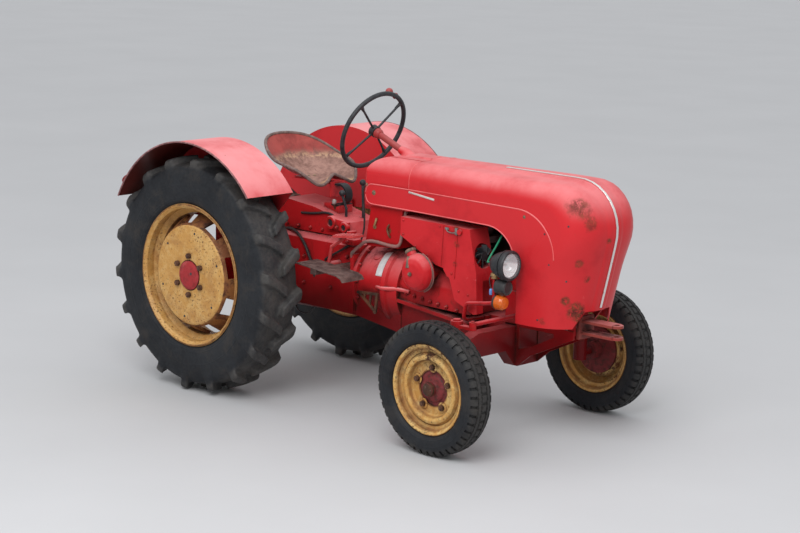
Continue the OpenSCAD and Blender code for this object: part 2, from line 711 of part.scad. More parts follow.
module steering_box() {
    shaft_end = on_column(beam_x);
    color(paint_red) placed() {
        translate([beam_x, 0, box_z0]) cylinder(h = shaft_end[2] - box_z0 - 10, r = 52);
        translate(shaft_end) rotate([90, 0, 0]) cylinder(h = 110, r = gear_r, center = true);
        for (s = [-1, 1]) block(beam_x - 40, beam_x + 40, s * 65 - 8, s * 65 + 8, support_top_z, box_z0 + 60);
        block(beam_x - 40, beam_x + 40, -73, 73, box_z0 + 20, box_z0 + 60);
    }
}

// The hood is one shell swept along its middle line. Its top runs level, an arc turns it down
// at the nose, and the front leans back towards its foot.
nose_arc_c = [nose_rear_x + 175, hood_top_z - nose_arc_r];
arch_foot_z = hood_side_z - arch_r;
turn_foot = 3;
axis_x = nose_rear_x;
axis_z = arch_foot_z - turn_foot;
arc_end = nose_arc_c + nose_arc_r * [cos(front_lean), -sin(front_lean)];
function front_x(z) = arc_end[0] - (arc_end[1] - z) * tan(front_lean);
function slope_from_axis(p) = atan2(p[1] - axis_z, p[0] - axis_x);

// Distance from the nose's turning axis to its outline, in direction a.
function nose_reach(a) =
    let (d = [cos(a), sin(a)], o = nose_arc_c - [axis_x, axis_z], b = o * d)
    a > slope_from_axis([nose_arc_c[0], hood_top_z]) ? (hood_top_z - axis_z) / d[1]
    : a > slope_from_axis(arc_end) ? b + sqrt(b * b - o * o + nose_arc_r * nose_arc_r)
    : (front_x(axis_z) - axis_x) / (d[0] - d[1] * tan(front_lean));

function hood_half_w(x) = let (f = min(1, max(0, (x - tank_front_x) / (axis_x - tank_front_x))))
    hood_rear_half_w + (hood_nose_half_w - hood_rear_half_w) * f;

// One half section, from the middle outwards, as [sideways, outwards]: the ridge, a flat
// crown, an elliptical corner and a side whose lower part stands out below edge by lift.
corner_steps = 7;
function half_section(w, reach, cy, cr, edge, lift, foot) =
    let (corner_end = reach - 2 - cr, e = min(edge, corner_end - 4)) concat(
    [[0, reach + ridge_h], [ridge_half_w - 16, reach + ridge_h], [ridge_half_w, reach],
     [(w - cy + ridge_half_w) / 2, reach - 1]],
    [for (i = [0:corner_steps]) let (t = 90 * i / corner_steps)
        [w - cy + cy * sin(t), corner_end + cr * cos(t)]],
    [[w, e], [w + lift, e - 6], [w + lift, foot]]);
function smooth(f) = f * f * (3 - 2 * f);

// Lower edge of the hood's side: level, then an arch down to the nose.
function side_foot(x) = let (d = x - nose_rear_x + arch_r)
    d <= 0 ? hood_side_z : arch_foot_z + sqrt(max(0, arch_r * arch_r - d * d));

// Sections along the hood: [kind, place], where 0 stands upright, 1 turns with the nose
// and 2 lies level below it.
turn_steps = 18;
hood_steps = concat(
    [for (d = [0, 300, 500]) [0, tank_front_x + d]],
    [for (i = [0:6]) [0, nose_rear_x - arch_r * cos(i * 90 / 7)]],
    [for (i = [0:turn_steps]) [1, 90 - 90 * i / turn_steps]],
    [[2, nose_bottom_z + 126], [2, nose_bottom_z]]);

// The nose's lower edge steps up over the hitch.
notch_half_w = 100;
notch_z = 685;
function edge_z(z, y) = z < notch_z && y < notch_half_w ? notch_z : z;

// The band's upper edge sinks towards the front, and the band fades into the nose.
band_top_z = hood_side_z + band_h;
band_sink = 95;
nose_corner_w = 0.75 * hood_nose_half_w;

function hood_row(step, t) =
    step[0] == 0 ? let (x = step[1])
        [for (p = half_section(hood_half_w(x) - t, hood_top_z - t, hood_corner_r - t, hood_corner_r - t,
            band_top_z, band_t, side_foot(x))) [x, p[0], p[1]]]
    : step[0] == 1 ? let (a = step[1], turned = 1 - a / 90, f = smooth(turned),
            cy = hood_corner_r + (nose_corner_w - hood_corner_r) * f - t,
            cr = hood_corner_r + (nose_round - hood_corner_r) * f - t,
            edge = band_top_z - axis_z - band_sink * turned * turned,
            lift = band_t * smooth(min(1, max(0, (a - 15) / 45))))
        [for (p = half_section(hood_nose_half_w - t, nose_reach(a) - t, cy, cr, edge, lift, turn_foot))
            [axis_x + p[1] * cos(a), p[0], axis_z + p[1] * sin(a)]]
    : let (z = step[1], edge = band_top_z - axis_z - band_sink)
        [for (p = half_section(hood_nose_half_w - 2 - t, front_x(z) - axis_x - t, nose_corner_w - t,
            nose_round - t, edge, 0, turn_foot)) let (e = edge_z(z, p[0]))
            [axis_x + p[1] + front_x(e) - front_x(z), p[0], e]];

// Full rows from left to right, outside first and then the inside on the way back.
function full_row(half) = concat([for (i = [len(half) - 1:-1:1]) [half[i][0], -half[i][1], half[i][2]]], half);
function ring(step) = concat(full_row(hood_row(step, 0)),
    let (inner = full_row(hood_row(step, hood_t))) [for (i = [len(inner) - 1:-1:0]) inner[i]]);

// Skin over rings of equal length, closed at both ends.
module ring_skin(rings) {
    n = len(rings[0]);
    m = len(rings);
    half = n / 2;
    polyhedron(
        points = [for (r = rings, p = r) p],
        faces = concat(
            [for (i = [0:m - 2], j = [0:n - 1]) let (a = i * n + j, b = i * n + (j + 1) % n)
                each [[a, b, a + n], [b, b + n, a + n]]],
            [for (j = [0:half - 2]) let (k = n - 1 - j) each [[j, k, j + 1], [k, k - 1, j + 1]]],
            [for (j = [0:half - 2]) let (e = (m - 1) * n, k = n - 1 - j)
                each [[e + j, e + j + 1, e + k], [e + j + 1, e + k - 1, e + k]]]));
}

// The hood tips forward about a pin low in the nose. Two lugs inside it ride on that pin.
hinge_x = hitch_x + 48;
hinge_z = 690;
hinge_r = 8;
hinge_plate_y = 62;
hinge_plate_t = 12;
lug_y = hinge_plate_y + hinge_plate_t + 4;
lug_t = 8;

// The band goes on behind the hood as a plate with round rear corners, clear of the tank.
lip_x = tank_front_x - band_reach;
lip_top_z = band_top_z - 3;
lip_r = 46;
lip_inset = 0.3;

module hood() {
    wall_x = nose_round * 0.024 + hood_t / 2;
    lip = concat(
        [[tank_front_x + 25, hood_side_z], [tank_front_x + 25, lip_top_z]],
        [for (i = [0:6]) lip_r * [cos(90 + 15 * i), sin(90 + 15 * i)] + [lip_x + lip_r, lip_top_z - lip_r]],
        [for (i = [0:6]) lip_r * [cos(180 + 15 * i), sin(180 + 15 * i)] + [lip_x + lip_r, hood_side_z + lip_r]]);
    lug = [
        [hinge_x - 12, hinge_z - 10], [hinge_x + 8, hinge_z - 10],
        [front_x(hinge_z - 2) - wall_x, hinge_z - 2], [front_x(hinge_z + 34) - wall_x, hinge_z + 34],
        [hinge_x - 12, hinge_z + 14]];
    color(paint_red) placed() {
        ring_skin([for (s = hood_steps) ring(s)]);
        for (s = [-1, 1]) mirror([0, s < 0 ? 1 : 0, 0]) difference() {
            side_slab(lug, lug_y, lug_y + lug_t);
            y_disc(hinge_x, 0, hinge_z, big, hinge_r + seat_gap);
        }
        for (s = [-1, 1]) mirror([0, s < 0 ? 1 : 0, 0])
            side_slab(lip, hood_rear_half_w + band_t - hood_t + lip_inset, hood_rear_half_w + band_t - lip_inset);
    }
}

// Bright strip over the ridge
strip_half_w = 7;
strip_h = 5;
strip_x0 = tank_front_x + 460;
strip_z1 = nose_bottom_z + 96;

module hood_strip() {
    lift = ridge_h + seat_gap;
    line = concat(
        [[strip_x0, hood_top_z + lift]],
        [for (s = hood_steps) if (s[0] == 1 || (s[0] == 0 && s[1] > strip_x0))
            s[0] == 0 ? [s[1], hood_top_z + lift]
            : [axis_x, axis_z] + (nose_reach(s[1]) + lift) * [cos(s[1]), sin(s[1])]],
        [[front_x(strip_z1) + lift, strip_z1]]);
    k = len(line) - 1;
    lifted = [for (i = [k:-1:0]) let (
        d = line[min(k, i + 1)] - line[max(0, i - 1)], n = [-d[1], d[0]] / norm(d))
        line[i] + strip_h * n];
    color(bright_metal) placed() side_slab(concat(line, lifted), -strip_half_w, strip_half_w);
}

// Fuel tank behind the hood, its top flush with the hood's
module fuel_tank() {
    w = hood_rear_half_w - 8;
    z0 = tank_bottom_z;
    z1 = hood_top_z;
    r = tank_corner_r;
    steps = 6;
    side = concat(
        [[tank_front_x - tank_gap, z0], [tank_front_x - tank_gap, z1]],
        [for (i = [0:steps]) let (a = 90 + i * 75 / steps)
            [tank_rear_x + r + 14 + r * cos(a), z1 - r + r * sin(a)]],
        [[tank_rear_x, z1 - r - 20], [tank_rear_x + 16, z0]]);
    half_plan = [for (i = [0:steps]) let (a = 90 + 90 * i / steps)
        [tank_rear_x + tank_plan_r * (1 + cos(a)), w - tank_plan_r * (1 - sin(a))]];
    color(paint_red) placed() difference() {
        intersection() {
            side_slab(side, -w, w);
            linear_extrude(big) polygon(concat([[tank_front_x, -w], [tank_front_x, w]], half_plan,
                [for (i = [steps:-1:0]) [half_plan[i][0], -half_plan[i][1]]]));
            union() {
                block(-big, big, -w, w, z0, z1 - 2 - hood_corner_r);
                block(-big, big, -w + hood_corner_r, w - hood_corner_r, z0, z1);
                for (s = [-1, 1]) x_disc(0, s * (w - hood_corner_r), z1 - 2 - hood_corner_r, 2000, hood_corner_r);
            }
        }
        bar(column_top, on_column(beam_x), column_r + seat_gap);
    }
}

console_half_w = hood_rear_half_w - 18;

module console() {
    outline = [
        [tank_rear_x + 56, tank_bottom_z - seat_gap], [tank_front_x - 56, tank_bottom_z - seat_gap],
        [tank_front_x - 60, 900], [tank_front_x - 79, 842], [tank_rear_x + 34, 830],
        [tank_rear_x + 19, 846]];
    color(paint_red) placed() difference() {
        side_slab(outline, -console_half_w, console_half_w);
        x_disc(bell_rear_x, 0, crank_z, bell_len, bell_ridge_r + seat_gap, $fn = 96);
    }
}

hub_half = 15;

module steering_column() {
    start = column_top + column_dir * (hub_half + seat_gap);
    color("#a8655c") placed() bar(start, on_column(beam_x) - column_dir * (gear_r + seat_gap), column_r);
}

// The rim lies a little above the hub, and each spoke widens to a web where it meets the rim.
rim_rise = 11;
rim_r1 = 12;

module steering_wheel() {
    reach = wheel_r - rim_r1;
    web = [[reach - 46, -5], [reach - 14, -10], [reach, -26], [reach, 26], [reach - 14, 10], [reach - 46, 5]];
    color(soft_black) placed() translate(column_top) rotate([0, 90 + column_slope, 0]) {
        translate([0, 0, -rim_rise]) rotate_extrude($fn = 72) translate([reach, 0]) circle(rim_r1, $fn = 24);
        cylinder(h = 2 * hub_half, r = 30, center = true);
        for (i = [0:3]) rotate([0, 0, 45 + 90 * i]) {
            bar([20, 0, 0], [reach, 0, -rim_rise], 6, $fn = 16);
            translate([0, 0, -rim_rise - 4]) linear_extrude(8) polygon(web);
        }
    }
}

module spinner_knob() {
    color(iron_brown) placed() translate(column_top) rotate([0, 90 + column_slope, 0])
        rotate([0, 0, 150]) translate([wheel_r - rim_r1, 0, -rim_rise - rim_r1 - seat_gap]) {
            translate([0, 0, -8]) cylinder(h = 8, r = 16);
            translate([0, 0, -44]) cylinder(h = 40, r = 8);
            translate([0, 0, -52]) sphere(20);
        }
}

// Seat: a pressed pan of rings that grow from its lowest point to a rolled rim
seat_x = 188;
seat_low_z = 1100;
seat_rim_z = 1136;
seat_rise = 119;
back_rise = 54;
lobe_drop = 60;
seat_t = 4;
seat_rings = 7;
seat_spokes = 36;

// Round the rim from the front notch: two lobes droop beside it, and the back stands up.
function off_notch(a) = a > 180 ? 360 - a : a;
function rim_z(a) = seat_rim_z + seat_rise * (1 - cos(a)) / 2 + back_rise * smooth(max(0, -cos(a)))
    - lobe_drop * exp(-pow((off_notch(a) - 32) / 20, 2));
function rim_r(a) = 1 - 0.28 * exp(-pow(off_notch(a) / 22.5, 2));
function seat_point(f, a, lift) = [
    seat_x + seat_half_len * f * rim_r(a) * cos(a), seat_half_w * f * rim_r(a) * sin(a),
    seat_low_z + (rim_z(a) - seat_low_z) * pow(f, 1.8) + lift];

module seat_pan() {
    n = seat_spokes;
    top = [for (i = [1:seat_rings], j = [0:n - 1]) seat_point(i / seat_rings, j * 360 / n, 0)];
    low = [for (i = [1:seat_rings], j = [0:n - 1]) seat_point(i / seat_rings, j * 360 / n, -seat_t)];
    m = seat_rings * n;
    last = (seat_rings - 1) * n;
    color("#7b5a50") placed() polyhedron(
        points = concat(top, low, [seat_point(0, 0, 0), seat_point(0, 0, -seat_t)]),
        faces = concat(
            [for (i = [0:seat_rings - 2], j = [0:n - 1]) let (a = i * n + j, b = i * n + (j + 1) % n)
                each [[a, b, a + n], [b, b + n, a + n], [m + a, m + a + n, m + b], [m + b, m + a + n, m + b + n]]],
            [for (j = [0:n - 1]) let (k = (j + 1) % n)
                each [[2 * m, k, j], [2 * m + 1, m + j, m + k],
                    [last + j, last + k, m + last + j], [last + k, m + last + k, m + last + j]]]));
}

// A pad and an arm under the pan, a plate in front, and a bent leaf spring down to the gearbox
module seat_mount() {
    pad_z = seat_low_z - seat_t - seat_gap;
    foot_x = [345, 455];
    foot_z = 980;
    spring_c = [425, 1030];
    spring_r = 58;
    spring = concat(
        [for (i = [0:10]) spring_r * [cos(100 - 20 * i), sin(100 - 20 * i)] + spring_c],
        [for (i = [10:-1:0]) (spring_r - 10) * [cos(100 - 20 * i), sin(100 - 20 * i)] + spring_c]);
    arm = [
        [seat_x, pad_z - 10], [seat_x, pad_z - 1], [spring_c[0], pad_z - 12], [spring_c[0], pad_z - 22]];
    foot = [
        [foot_x[0], cover_top(foot_x[0]) + seat_gap], [foot_x[1], cover_top(foot_x[1]) + seat_gap],
        [foot_x[1], foot_z], [foot_x[0], foot_z]];
    color(paint_red) placed() {
        block(seat_x - 78, seat_x + 14, -45, 45, pad_z - 10, pad_z);
        side_slab(arm, -24, 24);
        block(385, 395, -50, 50, 1015, pad_z - 1);
        side_slab(spring, -24, 24);
        side_slab(foot, -50, 50);
    }
}

// Fenders: an arched top sheet with an upright plate inside
fender_c = [25, rear_tyre_r + 97];
fender_a0 = 38;
fender_a1 = 154;

function fender_point(r, a) = fender_c + r * [cos(a), sin(a)];

module fender(side) {
    steps = 24;
    step_a = (fender_a1 - fender_a0) / steps;
    plate = concat([for (i = [0:steps]) fender_point(fender_r - 1, fender_a0 + i * step_a)],
        [[-330, 880], [300, 880]]);
    color(paint_red) placed() mirror([0, side < 0 ? 1 : 0, 0]) {
        translate([fender_c[0], fender_out_y, fender_c[1]]) rotate([90, 0, 0])
            rotate([0, 0, fender_a0]) rotate_extrude(angle = fender_a1 - fender_a0, $fn = 120)
                translate([fender_r - fender_t, 0]) square([fender_t, fender_out_y - fender_in_y]);
        side_slab(plate, fender_in_y, fender_in_y + fender_t);
    }
}

// Rear axle housings with the plates that carry the fenders
module rear_axle() {
    inner = gearbox_half_w;
    outer = rear_half_track + disc_face_w - 150 - seat_gap;
    color(paint_red) placed() for (s = [-1, 1]) mirror([0, s < 0 ? 1 : 0, 0]) {
        translate([0, 0, rear_z]) rotate([-90, 0, 0]) rotate_extrude($fn = 72) polygon([
            [0, inner], [150, inner], [150, inner + 30], [96, inner + 70], [84, outer - 140],
            [140, outer - 120], [140, outer - 40], [84, outer - 20], [84, outer], [0, outer]]);
        block(-90, 90, fender_in_y - 12, fender_in_y - seat_gap, rear_z + 60, 920);
    }
}

module footrests() {
    x0 = bell_rear_x - 180;
    x1 = bell_rear_x + 115;
    tread = [
        [x0, 732], [x1, 706], [x1 + 32, 696], [x1 + 48, 676], [x1 + 42, 674], [x1 + 28, 690],
        [x1, 700], [x0, 726]];
    color("#6d4038") placed() for (s = [-1, 1]) mirror([0, s < 0 ? 1 : 0, 0]) {
        side_slab(tread, 275, 430);
        block(bell_rear_x - 70, bell_rear_x - 30, gearbox_half_w + seat_gap, 430, 688, 716);
    }
}

module pedals() {
    x = bell_rear_x - 150;
    color(paint_red) placed() for (s = [-1, 1]) mirror([0, s < 0 ? 1 : 0, 0]) {
        y_disc(x, gearbox_half_w + seat_gap, 700, 120, 16);
        bent_bar([[x, 225, 700], [x + 40, 240, 800], [x + 150, 250, 868]], 9);
        translate([x + 165, 250, 874]) rotate([0, -6, 0]) cube([150, 72, 12], center = true);
    }
}

module hand_levers() {
    r = 7;
    color(soft_black) placed() for (lever = [[-210, -40, 1040], [-170, 45, 1090]]) {
        x = bell_rear_x + lever[0];
        foot = [x, lever[1], cover_top(x - r) + seat_gap];
        bent_bar([foot, foot + [0, 0, 40], [x - 20, lever[1] * 1.3, lever[2]]], r);
        translate([x - 20, lever[1] * 1.3, lever[2] + 6]) sphere(17);
    }
}

// Lamps, left and right
lamp_front_x = wheelbase + 215;
lamp_len = 120;
bowl_depth = 56;
glass_seat = 8;

gland_len = 12;

module headlamps() {
    steps = 8;
    shell = concat(
        [for (i = [0:steps]) let (a = 90 * i / steps) [(lamp_r - 17) * sin(a), glass_seat + bowl_depth * cos(a)]],
        [[lamp_r - 12, glass_seat], [lamp_r - 12, 0], [lamp_r - 3, 0], [lamp_r, 6], [lamp_r, 22], [lamp_r - 6, 26]],
        [for (i = [0:steps]) let (a = 90 * i / steps) [(lamp_r - 8) * cos(a), 30 + (lamp_len - 30) * sin(a)]]);
    color(soft_black) placed() for (s = [-1, 1]) translate([lamp_front_x, s * lamp_y, lamp_z]) {
        rotate([0, -90, 0]) rotate_extrude() polygon(shell);
        x_disc(-lamp_len - gland_len, 0, 0, gland_len + 6, 7);
    }
}

module lamp_glasses() {
    color("#dfe3e6", 0.6) placed() for (s = [-1, 1]) translate([lamp_front_x, s * lamp_y, lamp_z])
        rotate([0, -90, 0]) rotate_extrude() polygon([
            [0, -10], [26, -9], [46, -6], [lamp_r - 12.3, 0], [lamp_r - 12.3, glass_seat - seat_gap],
            [0, glass_seat - seat_gap]]);
}

// One bent tube on each side carries a headlamp, and an indicator in front of its upright end
tube_r = 10;
stub_x = lamp_front_x - 100;
indicator_z = 717;

// Radius of a headlamp's shell at a distance behind its front edge
function lamp_shell_r(d) = (lamp_r - 8) * sqrt(1 - pow((d - 30) / (lamp_len - 30), 2));

module lamp_brackets() {
    stub_top = lamp_z - lamp_shell_r(lamp_front_x - stub_x - tube_r) - seat_gap;
    color(paint_red) placed() for (s = [-1, 1]) mirror([0, s < 0 ? 1 : 0, 0]) {
        swept_tube(rounded([[crank_front_x + 20, support_half_w + 20, support_top_z - 12],
            [crank_front_x + 14, 250, support_top_z - 4], [crank_front_x + 32, 253, 656],
            [crank_front_x + 186, 290, 684], [stub_x, lamp_y, 708], [stub_x, lamp_y, stub_top]], 26),
            tube_r, 12, [1, -0.8, 0]);
        block(crank_front_x, crank_front_x + 40, support_half_w, support_half_w + 34, support_top_z - 28, support_top_z - 2);
    }
}

module indicators() {
    back_x = stub_x + tube_r + seat_gap;
    color("#d2691e") placed() for (s = [-1, 1]) translate([back_x, s * lamp_y, indicator_z])
        rotate([0, 90, 0]) rotate_extrude() polygon([[0, 0], [28, 0], [36, 10], [35, 44], [26, 58], [0, 62]]);
}

lead_path = [for (p = [
    [0, -30, 1024], [0, -50, 1025], [0, -90, 1030], [10, -140, 1022], [24, -195, 998], [42, -250, 962],
    [52, -292, 932], [60, -322, 910], [68, -340, 900], [82.7, -340, 900]]) [wheelbase + p[0], p[1], p[2]]];
lead_r = 5;

module lamp_lead() {
    color("#1f9d63") placed() swept_tube(lead_path, lead_r, 8, [0, 0, 1]);
}

module battery() {
    tray_z = support_top_z + 118;
    color(soft_black) placed() {
        block(wheelbase + 80, wheelbase + 220, -115, 115, tray_z + 12, tray_z + 170);
        block(wheelbase + 70, wheelbase + 230, -120, 120, tray_z, tray_z + 13);
        for (d = [155, 205], s = [-1, 1]) translate([wheelbase + d, s * 56, support_top_z + seat_gap])
            cylinder(h = tray_z + 1 - support_top_z - seat_gap, r = 9);
    }
}

module exhaust() {
    port_z = deck_z + 160;
    box_r = 25;
    color("#2a2624") placed() {
        for (x = cylinder_x) bar([x, 92 + seat_gap, port_z], [x, 150, port_z], 24);
        bar([cylinder_x[0] - 30, 150, port_z], [crank_front_x + 30, 150, port_z], 28);
        bent_bar([[crank_front_x + 30, 150, port_z], [crank_front_x + 34, 150, 666], [crank_front_x + 80, 150, 666]], box_r - 2);
        x_disc(crank_front_x + 60, 150, 666, 330, box_r);
    }
}

module drawbar() {
    color(iron_brown) placed() difference() {
        union() {
            block(gearbox_rear_x - 160, gearbox_rear_x - seat_gap, -110, 110, 430, 455);
            block(gearbox_rear_x - 16, gearbox_rear_x - seat_gap, -120, 120, 430, 560);
        }
        translate([gearbox_rear_x - 120, 0, 0]) cylinder(h = big, r = 16);
    }
}

module pto_shaft() {
    color(iron_brown) placed() {
        x_disc(gearbox_rear_x - 100, 0, crank_z, 100 - seat_gap, 17.5);
        x_disc(gearbox_rear_x - 20, 0, crank_z, 20 - seat_gap, 60);
    }
}

module tail_lamps() {
    a = fender_a1 - 7;
    c = fender_point(fender_r + seat_gap, a);
    color("#7c1f22") placed() for (s = [-1, 1])
        translate([c[0], s * (fender_out_y - 60), c[1]]) rotate([0, 90 - a, 0]) cylinder(h = 40, r = 30);
}

rear_axle();
gearbox();
bell_housing();
crankcase();
cylinders();
cooling_shroud();
fan();
filter_bowl();
front_support();
front_axle();
front_hitch();
steering_box();
fuel_tank();
console();
steering_column();
seat_pan();
seat_mount();
fender(-1);  // fender_right
fender(1);  // fender_left
footrests();
pedals();
hand_levers();
headlamps();
lamp_glasses();
lamp_brackets();
indicators();
lamp_lead();
battery();
exhaust();
drawbar();
pto_shaft();
tail_lamps();
hood();
hood_strip();
rear_tyre(-1);  // rear_tyre_right
rear_tyre(1);  // rear_tyre_left
rear_rim(-1);  // rear_rim_right
rear_rim(1);  // rear_rim_left
rear_hub(-1);  // rear_hub_right
rear_hub(1);  // rear_hub_left
front_tyre(-1);  // front_tyre_right
front_tyre(1);  // front_tyre_left
front_rim(-1);  // front_rim_right
front_rim(1);  // front_rim_left
front_hub(-1);  // front_hub_right
front_hub(1);  // front_hub_left
knuckle(-1);  // knuckle_right
knuckle(1);  // knuckle_left
tie_rod(-1);  // tie_rod_right
tie_rod(1);  // tie_rod_left
drop_arm();
steering_wheel();
spinner_knob();
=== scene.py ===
"""Looks of the vintage tractor: worn red sheet and castings, rusty ochre wheels, lugged black tyres."""

import math

import bmesh
import bpy
from mathutils import Matrix, Vector


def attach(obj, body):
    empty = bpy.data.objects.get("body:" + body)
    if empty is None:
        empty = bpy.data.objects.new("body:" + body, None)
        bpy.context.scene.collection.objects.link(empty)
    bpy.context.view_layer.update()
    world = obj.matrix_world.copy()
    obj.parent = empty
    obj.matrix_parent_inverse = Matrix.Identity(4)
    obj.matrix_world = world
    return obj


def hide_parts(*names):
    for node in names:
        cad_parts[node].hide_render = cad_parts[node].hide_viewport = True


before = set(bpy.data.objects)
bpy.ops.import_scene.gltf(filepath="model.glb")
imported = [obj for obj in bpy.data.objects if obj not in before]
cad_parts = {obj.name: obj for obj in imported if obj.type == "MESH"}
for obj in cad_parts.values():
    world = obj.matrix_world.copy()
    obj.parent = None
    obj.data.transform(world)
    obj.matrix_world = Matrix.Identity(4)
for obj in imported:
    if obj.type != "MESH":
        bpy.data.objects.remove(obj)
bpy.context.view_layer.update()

# Sizes in metres. MID_X is how far the frame's origin lies ahead of the rear axle.
MID_X = 0.8395
WHEELBASE = 1.68
REAR_Z = 0.618
REAR_Y = 0.5685
FRONT_Z = 0.32092
FRONT_Y = 0.62
CAMBER = math.radians(1.7)
REAR_AXLE = (0.0, REAR_Z)
FRONT_AXLE = (WHEELBASE, FRONT_Z)
SIDES = (("right", -1), ("left", 1))
FORWARD = (1.0, 0.0, 0.0)
BACKWARD = (-1.0, 0.0, 0.0)
RIGHTWARD = (0.0, -1.0, 0.0)


def at(x, y, z):
    """A point given from the rear axle, in the frame's own coordinates."""
    return Vector((x - MID_X, y, z))


def swing(reach, turn):
    """How far along and how far up a reach goes when it is turned by this many degrees."""
    return reach * math.cos(math.radians(turn)), reach * math.sin(math.radians(turn))


def smooth(share):
    """0 to 1 with a soft start and end."""
    share = min(1.0, max(0.0, share))
    return share * share * (3 - 2 * share)


# Shader maths


class Link:
    """A node's output. Sums, differences and products of links add the nodes that work them out."""

    def __init__(self, owner, socket):
        self.owner = owner
        self.socket = socket

    def __add__(self, other):
        return self.owner.math("ADD", self, other)

    def __radd__(self, other):
        return self.owner.math("ADD", other, self)

    def __sub__(self, other):
        return self.owner.math("SUBTRACT", self, other)

    def __rsub__(self, other):
        return self.owner.math("SUBTRACT", other, self)

    def __mul__(self, other):
        return self.owner.math("MULTIPLY", self, other)

    def __rmul__(self, other):
        return self.owner.math("MULTIPLY", other, self)


class Nodes:
    """A node tree in the making. Its colours are given as red, green and blue."""

    def __init__(self, tree):
        self.tree = tree
        tree.nodes.clear()

    def node(self, kind, settings=None, inputs=None, output=0):
        """Adds any node: its settings first, then the values or links of its sockets."""
        made = self.tree.nodes.new(kind)
        for key, value in (settings or {}).items():
            if key == "stops":
                for stop, (place, colour) in zip(made.color_ramp.elements, value):
                    stop.position = place
                    stop.color = (*colour, 1.0)
            else:
                setattr(made, key, value)
        for key, value in (inputs or {}).items():
            socket = made.inputs[key]
            if isinstance(value, Link):
                self.tree.links.new(value.socket, socket)
            else:
                socket.default_value = (*value, 1.0) if socket.type == "RGBA" else value
        return None if output is None else Link(self, made.outputs[output])

    def math(self, operation, *values):
        return self.node("ShaderNodeMath", {"operation": operation}, dict(enumerate(values)))

    def vector_math(self, operation, *vectors):
        return self.node("ShaderNodeVectorMath", {"operation": operation}, dict(enumerate(vectors)), "Value")

    def part_of(self, vector, axis):
        return self.node("ShaderNodeSeparateXYZ", inputs={0: vector}, output=axis)


class Finish(Nodes):
    """One procedural material and the node tree behind it."""

    def __init__(self, name):
        self.material = bpy.data.materials.new(name)
        self.material.use_nodes = True
        super().__init__(self.material.node_tree)
        self.where = self.node("ShaderNodeTexCoord", output="Object")

    def highest(self, a, b):
        return self.math("MAXIMUM", a, b)

    def step(self, value, low, high):
        """0 below low and 1 above high, smooth between, or the other way round where low is above high."""
        return self.node("ShaderNodeMapRange", {"interpolation_type": "SMOOTHSTEP"},
                         {"Value": value, "From Min": low, "From Max": high})

    def blend(self, under, over, amount):
        """One colour over another."""
        inputs = {6: under, 7: over, 0: amount}
        return self.node("ShaderNodeMix", {"data_type": "RGBA"}, inputs, output=2)

    def noise(self, scale, detail=4.0, rough=0.55, twist=0.0):
        inputs = {"Vector": self.where, "Scale": scale, "Detail": detail, "Roughness": rough,
                  "Distortion": twist}
        return self.node("ShaderNodeTexNoise", inputs=inputs)

    def spots(self, low, high, *noise):
        """1 in the high places of a noise and 0 in its low ones."""
        return self.step(self.noise(*noise), low, high)

    def upward(self):
        """How far the surface faces up, from -1 to 1."""
        return self.part_of(self.node("ShaderNodeNewGeometry", output="Normal"), "Z")

    def edges(self, radius=0.004):
        """1 on worn outer edges and 0 on flat faces."""
        soft = self.node("ShaderNodeBevel", {"samples": 4}, {"Radius": radius})
        hard = self.node("ShaderNodeNewGeometry", output="Normal")
        return self.step(self.vector_math("DOT_PRODUCT", soft, hard), 0.97, 0.8)

    def shade_and_grime(self, reach=0.05):
        """1 in corners and under overhangs, where shade falls, and 0 in the open."""
        open_sky = self.node("ShaderNodeAmbientOcclusion", {"samples": 4}, {"Distance": reach}, output="AO")
        return self.step(open_sky, 0.95, 0.35)

    def near(self, place):
        """Distance from a point."""
        return self.vector_math("DISTANCE", self.where, place)

    def from_axle(self, x, z):
        """Distance from a line across the machine."""
        inputs = {0: self.where, "Location": (MID_X - x, 0.0, -z), "Scale": (1.0, 0.0, 1.0)}
        return self.vector_math("LENGTH", self.node("ShaderNodeMapping", inputs=inputs))

    def line(self, value, place, width):
        """1 where the value is at that place, and 0 beyond the width on both sides."""
        return self.step(self.math("ABSOLUTE", value - place), width, 0.0)

    def bump(self, height, strength, depth):
        return self.node("ShaderNodeBump", inputs={"Height": height, "Strength": strength, "Distance": depth})

    def surface(self, colour, rough, relief=None, shine=0.5, **inputs):
        """Ends the tree in a Principled shader. Relief is (height, strength, depth)."""
        named = {key.replace("_", " "): value for key, value in inputs.items()}
        named.update({"Base Color": colour, "Roughness": rough, "Specular IOR Level": shine})
        if relief:
            named["Normal"] = self.bump(*relief)
        shader = self.node("ShaderNodeBsdfPrincipled", inputs=named)
        self.node("ShaderNodeOutputMaterial", inputs={"Surface": shader}, output=None)
        return self.material


# Colours, as linear red, green and blue

RED = (0.6, 0.022, 0.028)
DEEP_RED = (0.4, 0.008, 0.013)
PINK = (0.86, 0.32, 0.33)
# Painted shade for faces that look down.
UNDERSIDE_SHADE_RED = (0.085, 0.014, 0.011)
RUST = (0.16, 0.055, 0.022)
DARK_RUST = (0.045, 0.018, 0.011)
# Near black for dirt and painted shade in corners.
SHADE_DIRT_DARK = (0.022, 0.015, 0.012)
OCHRE = (0.55, 0.28, 0.07)
PALE_OCHRE = (0.64, 0.39, 0.14)
CREAM = (0.7, 0.49, 0.19)
BROWN_OCHRE = (0.22, 0.085, 0.024)
BARE_GREY = (0.3, 0.25, 0.22)
BLACK = (0.013, 0.014, 0.017)


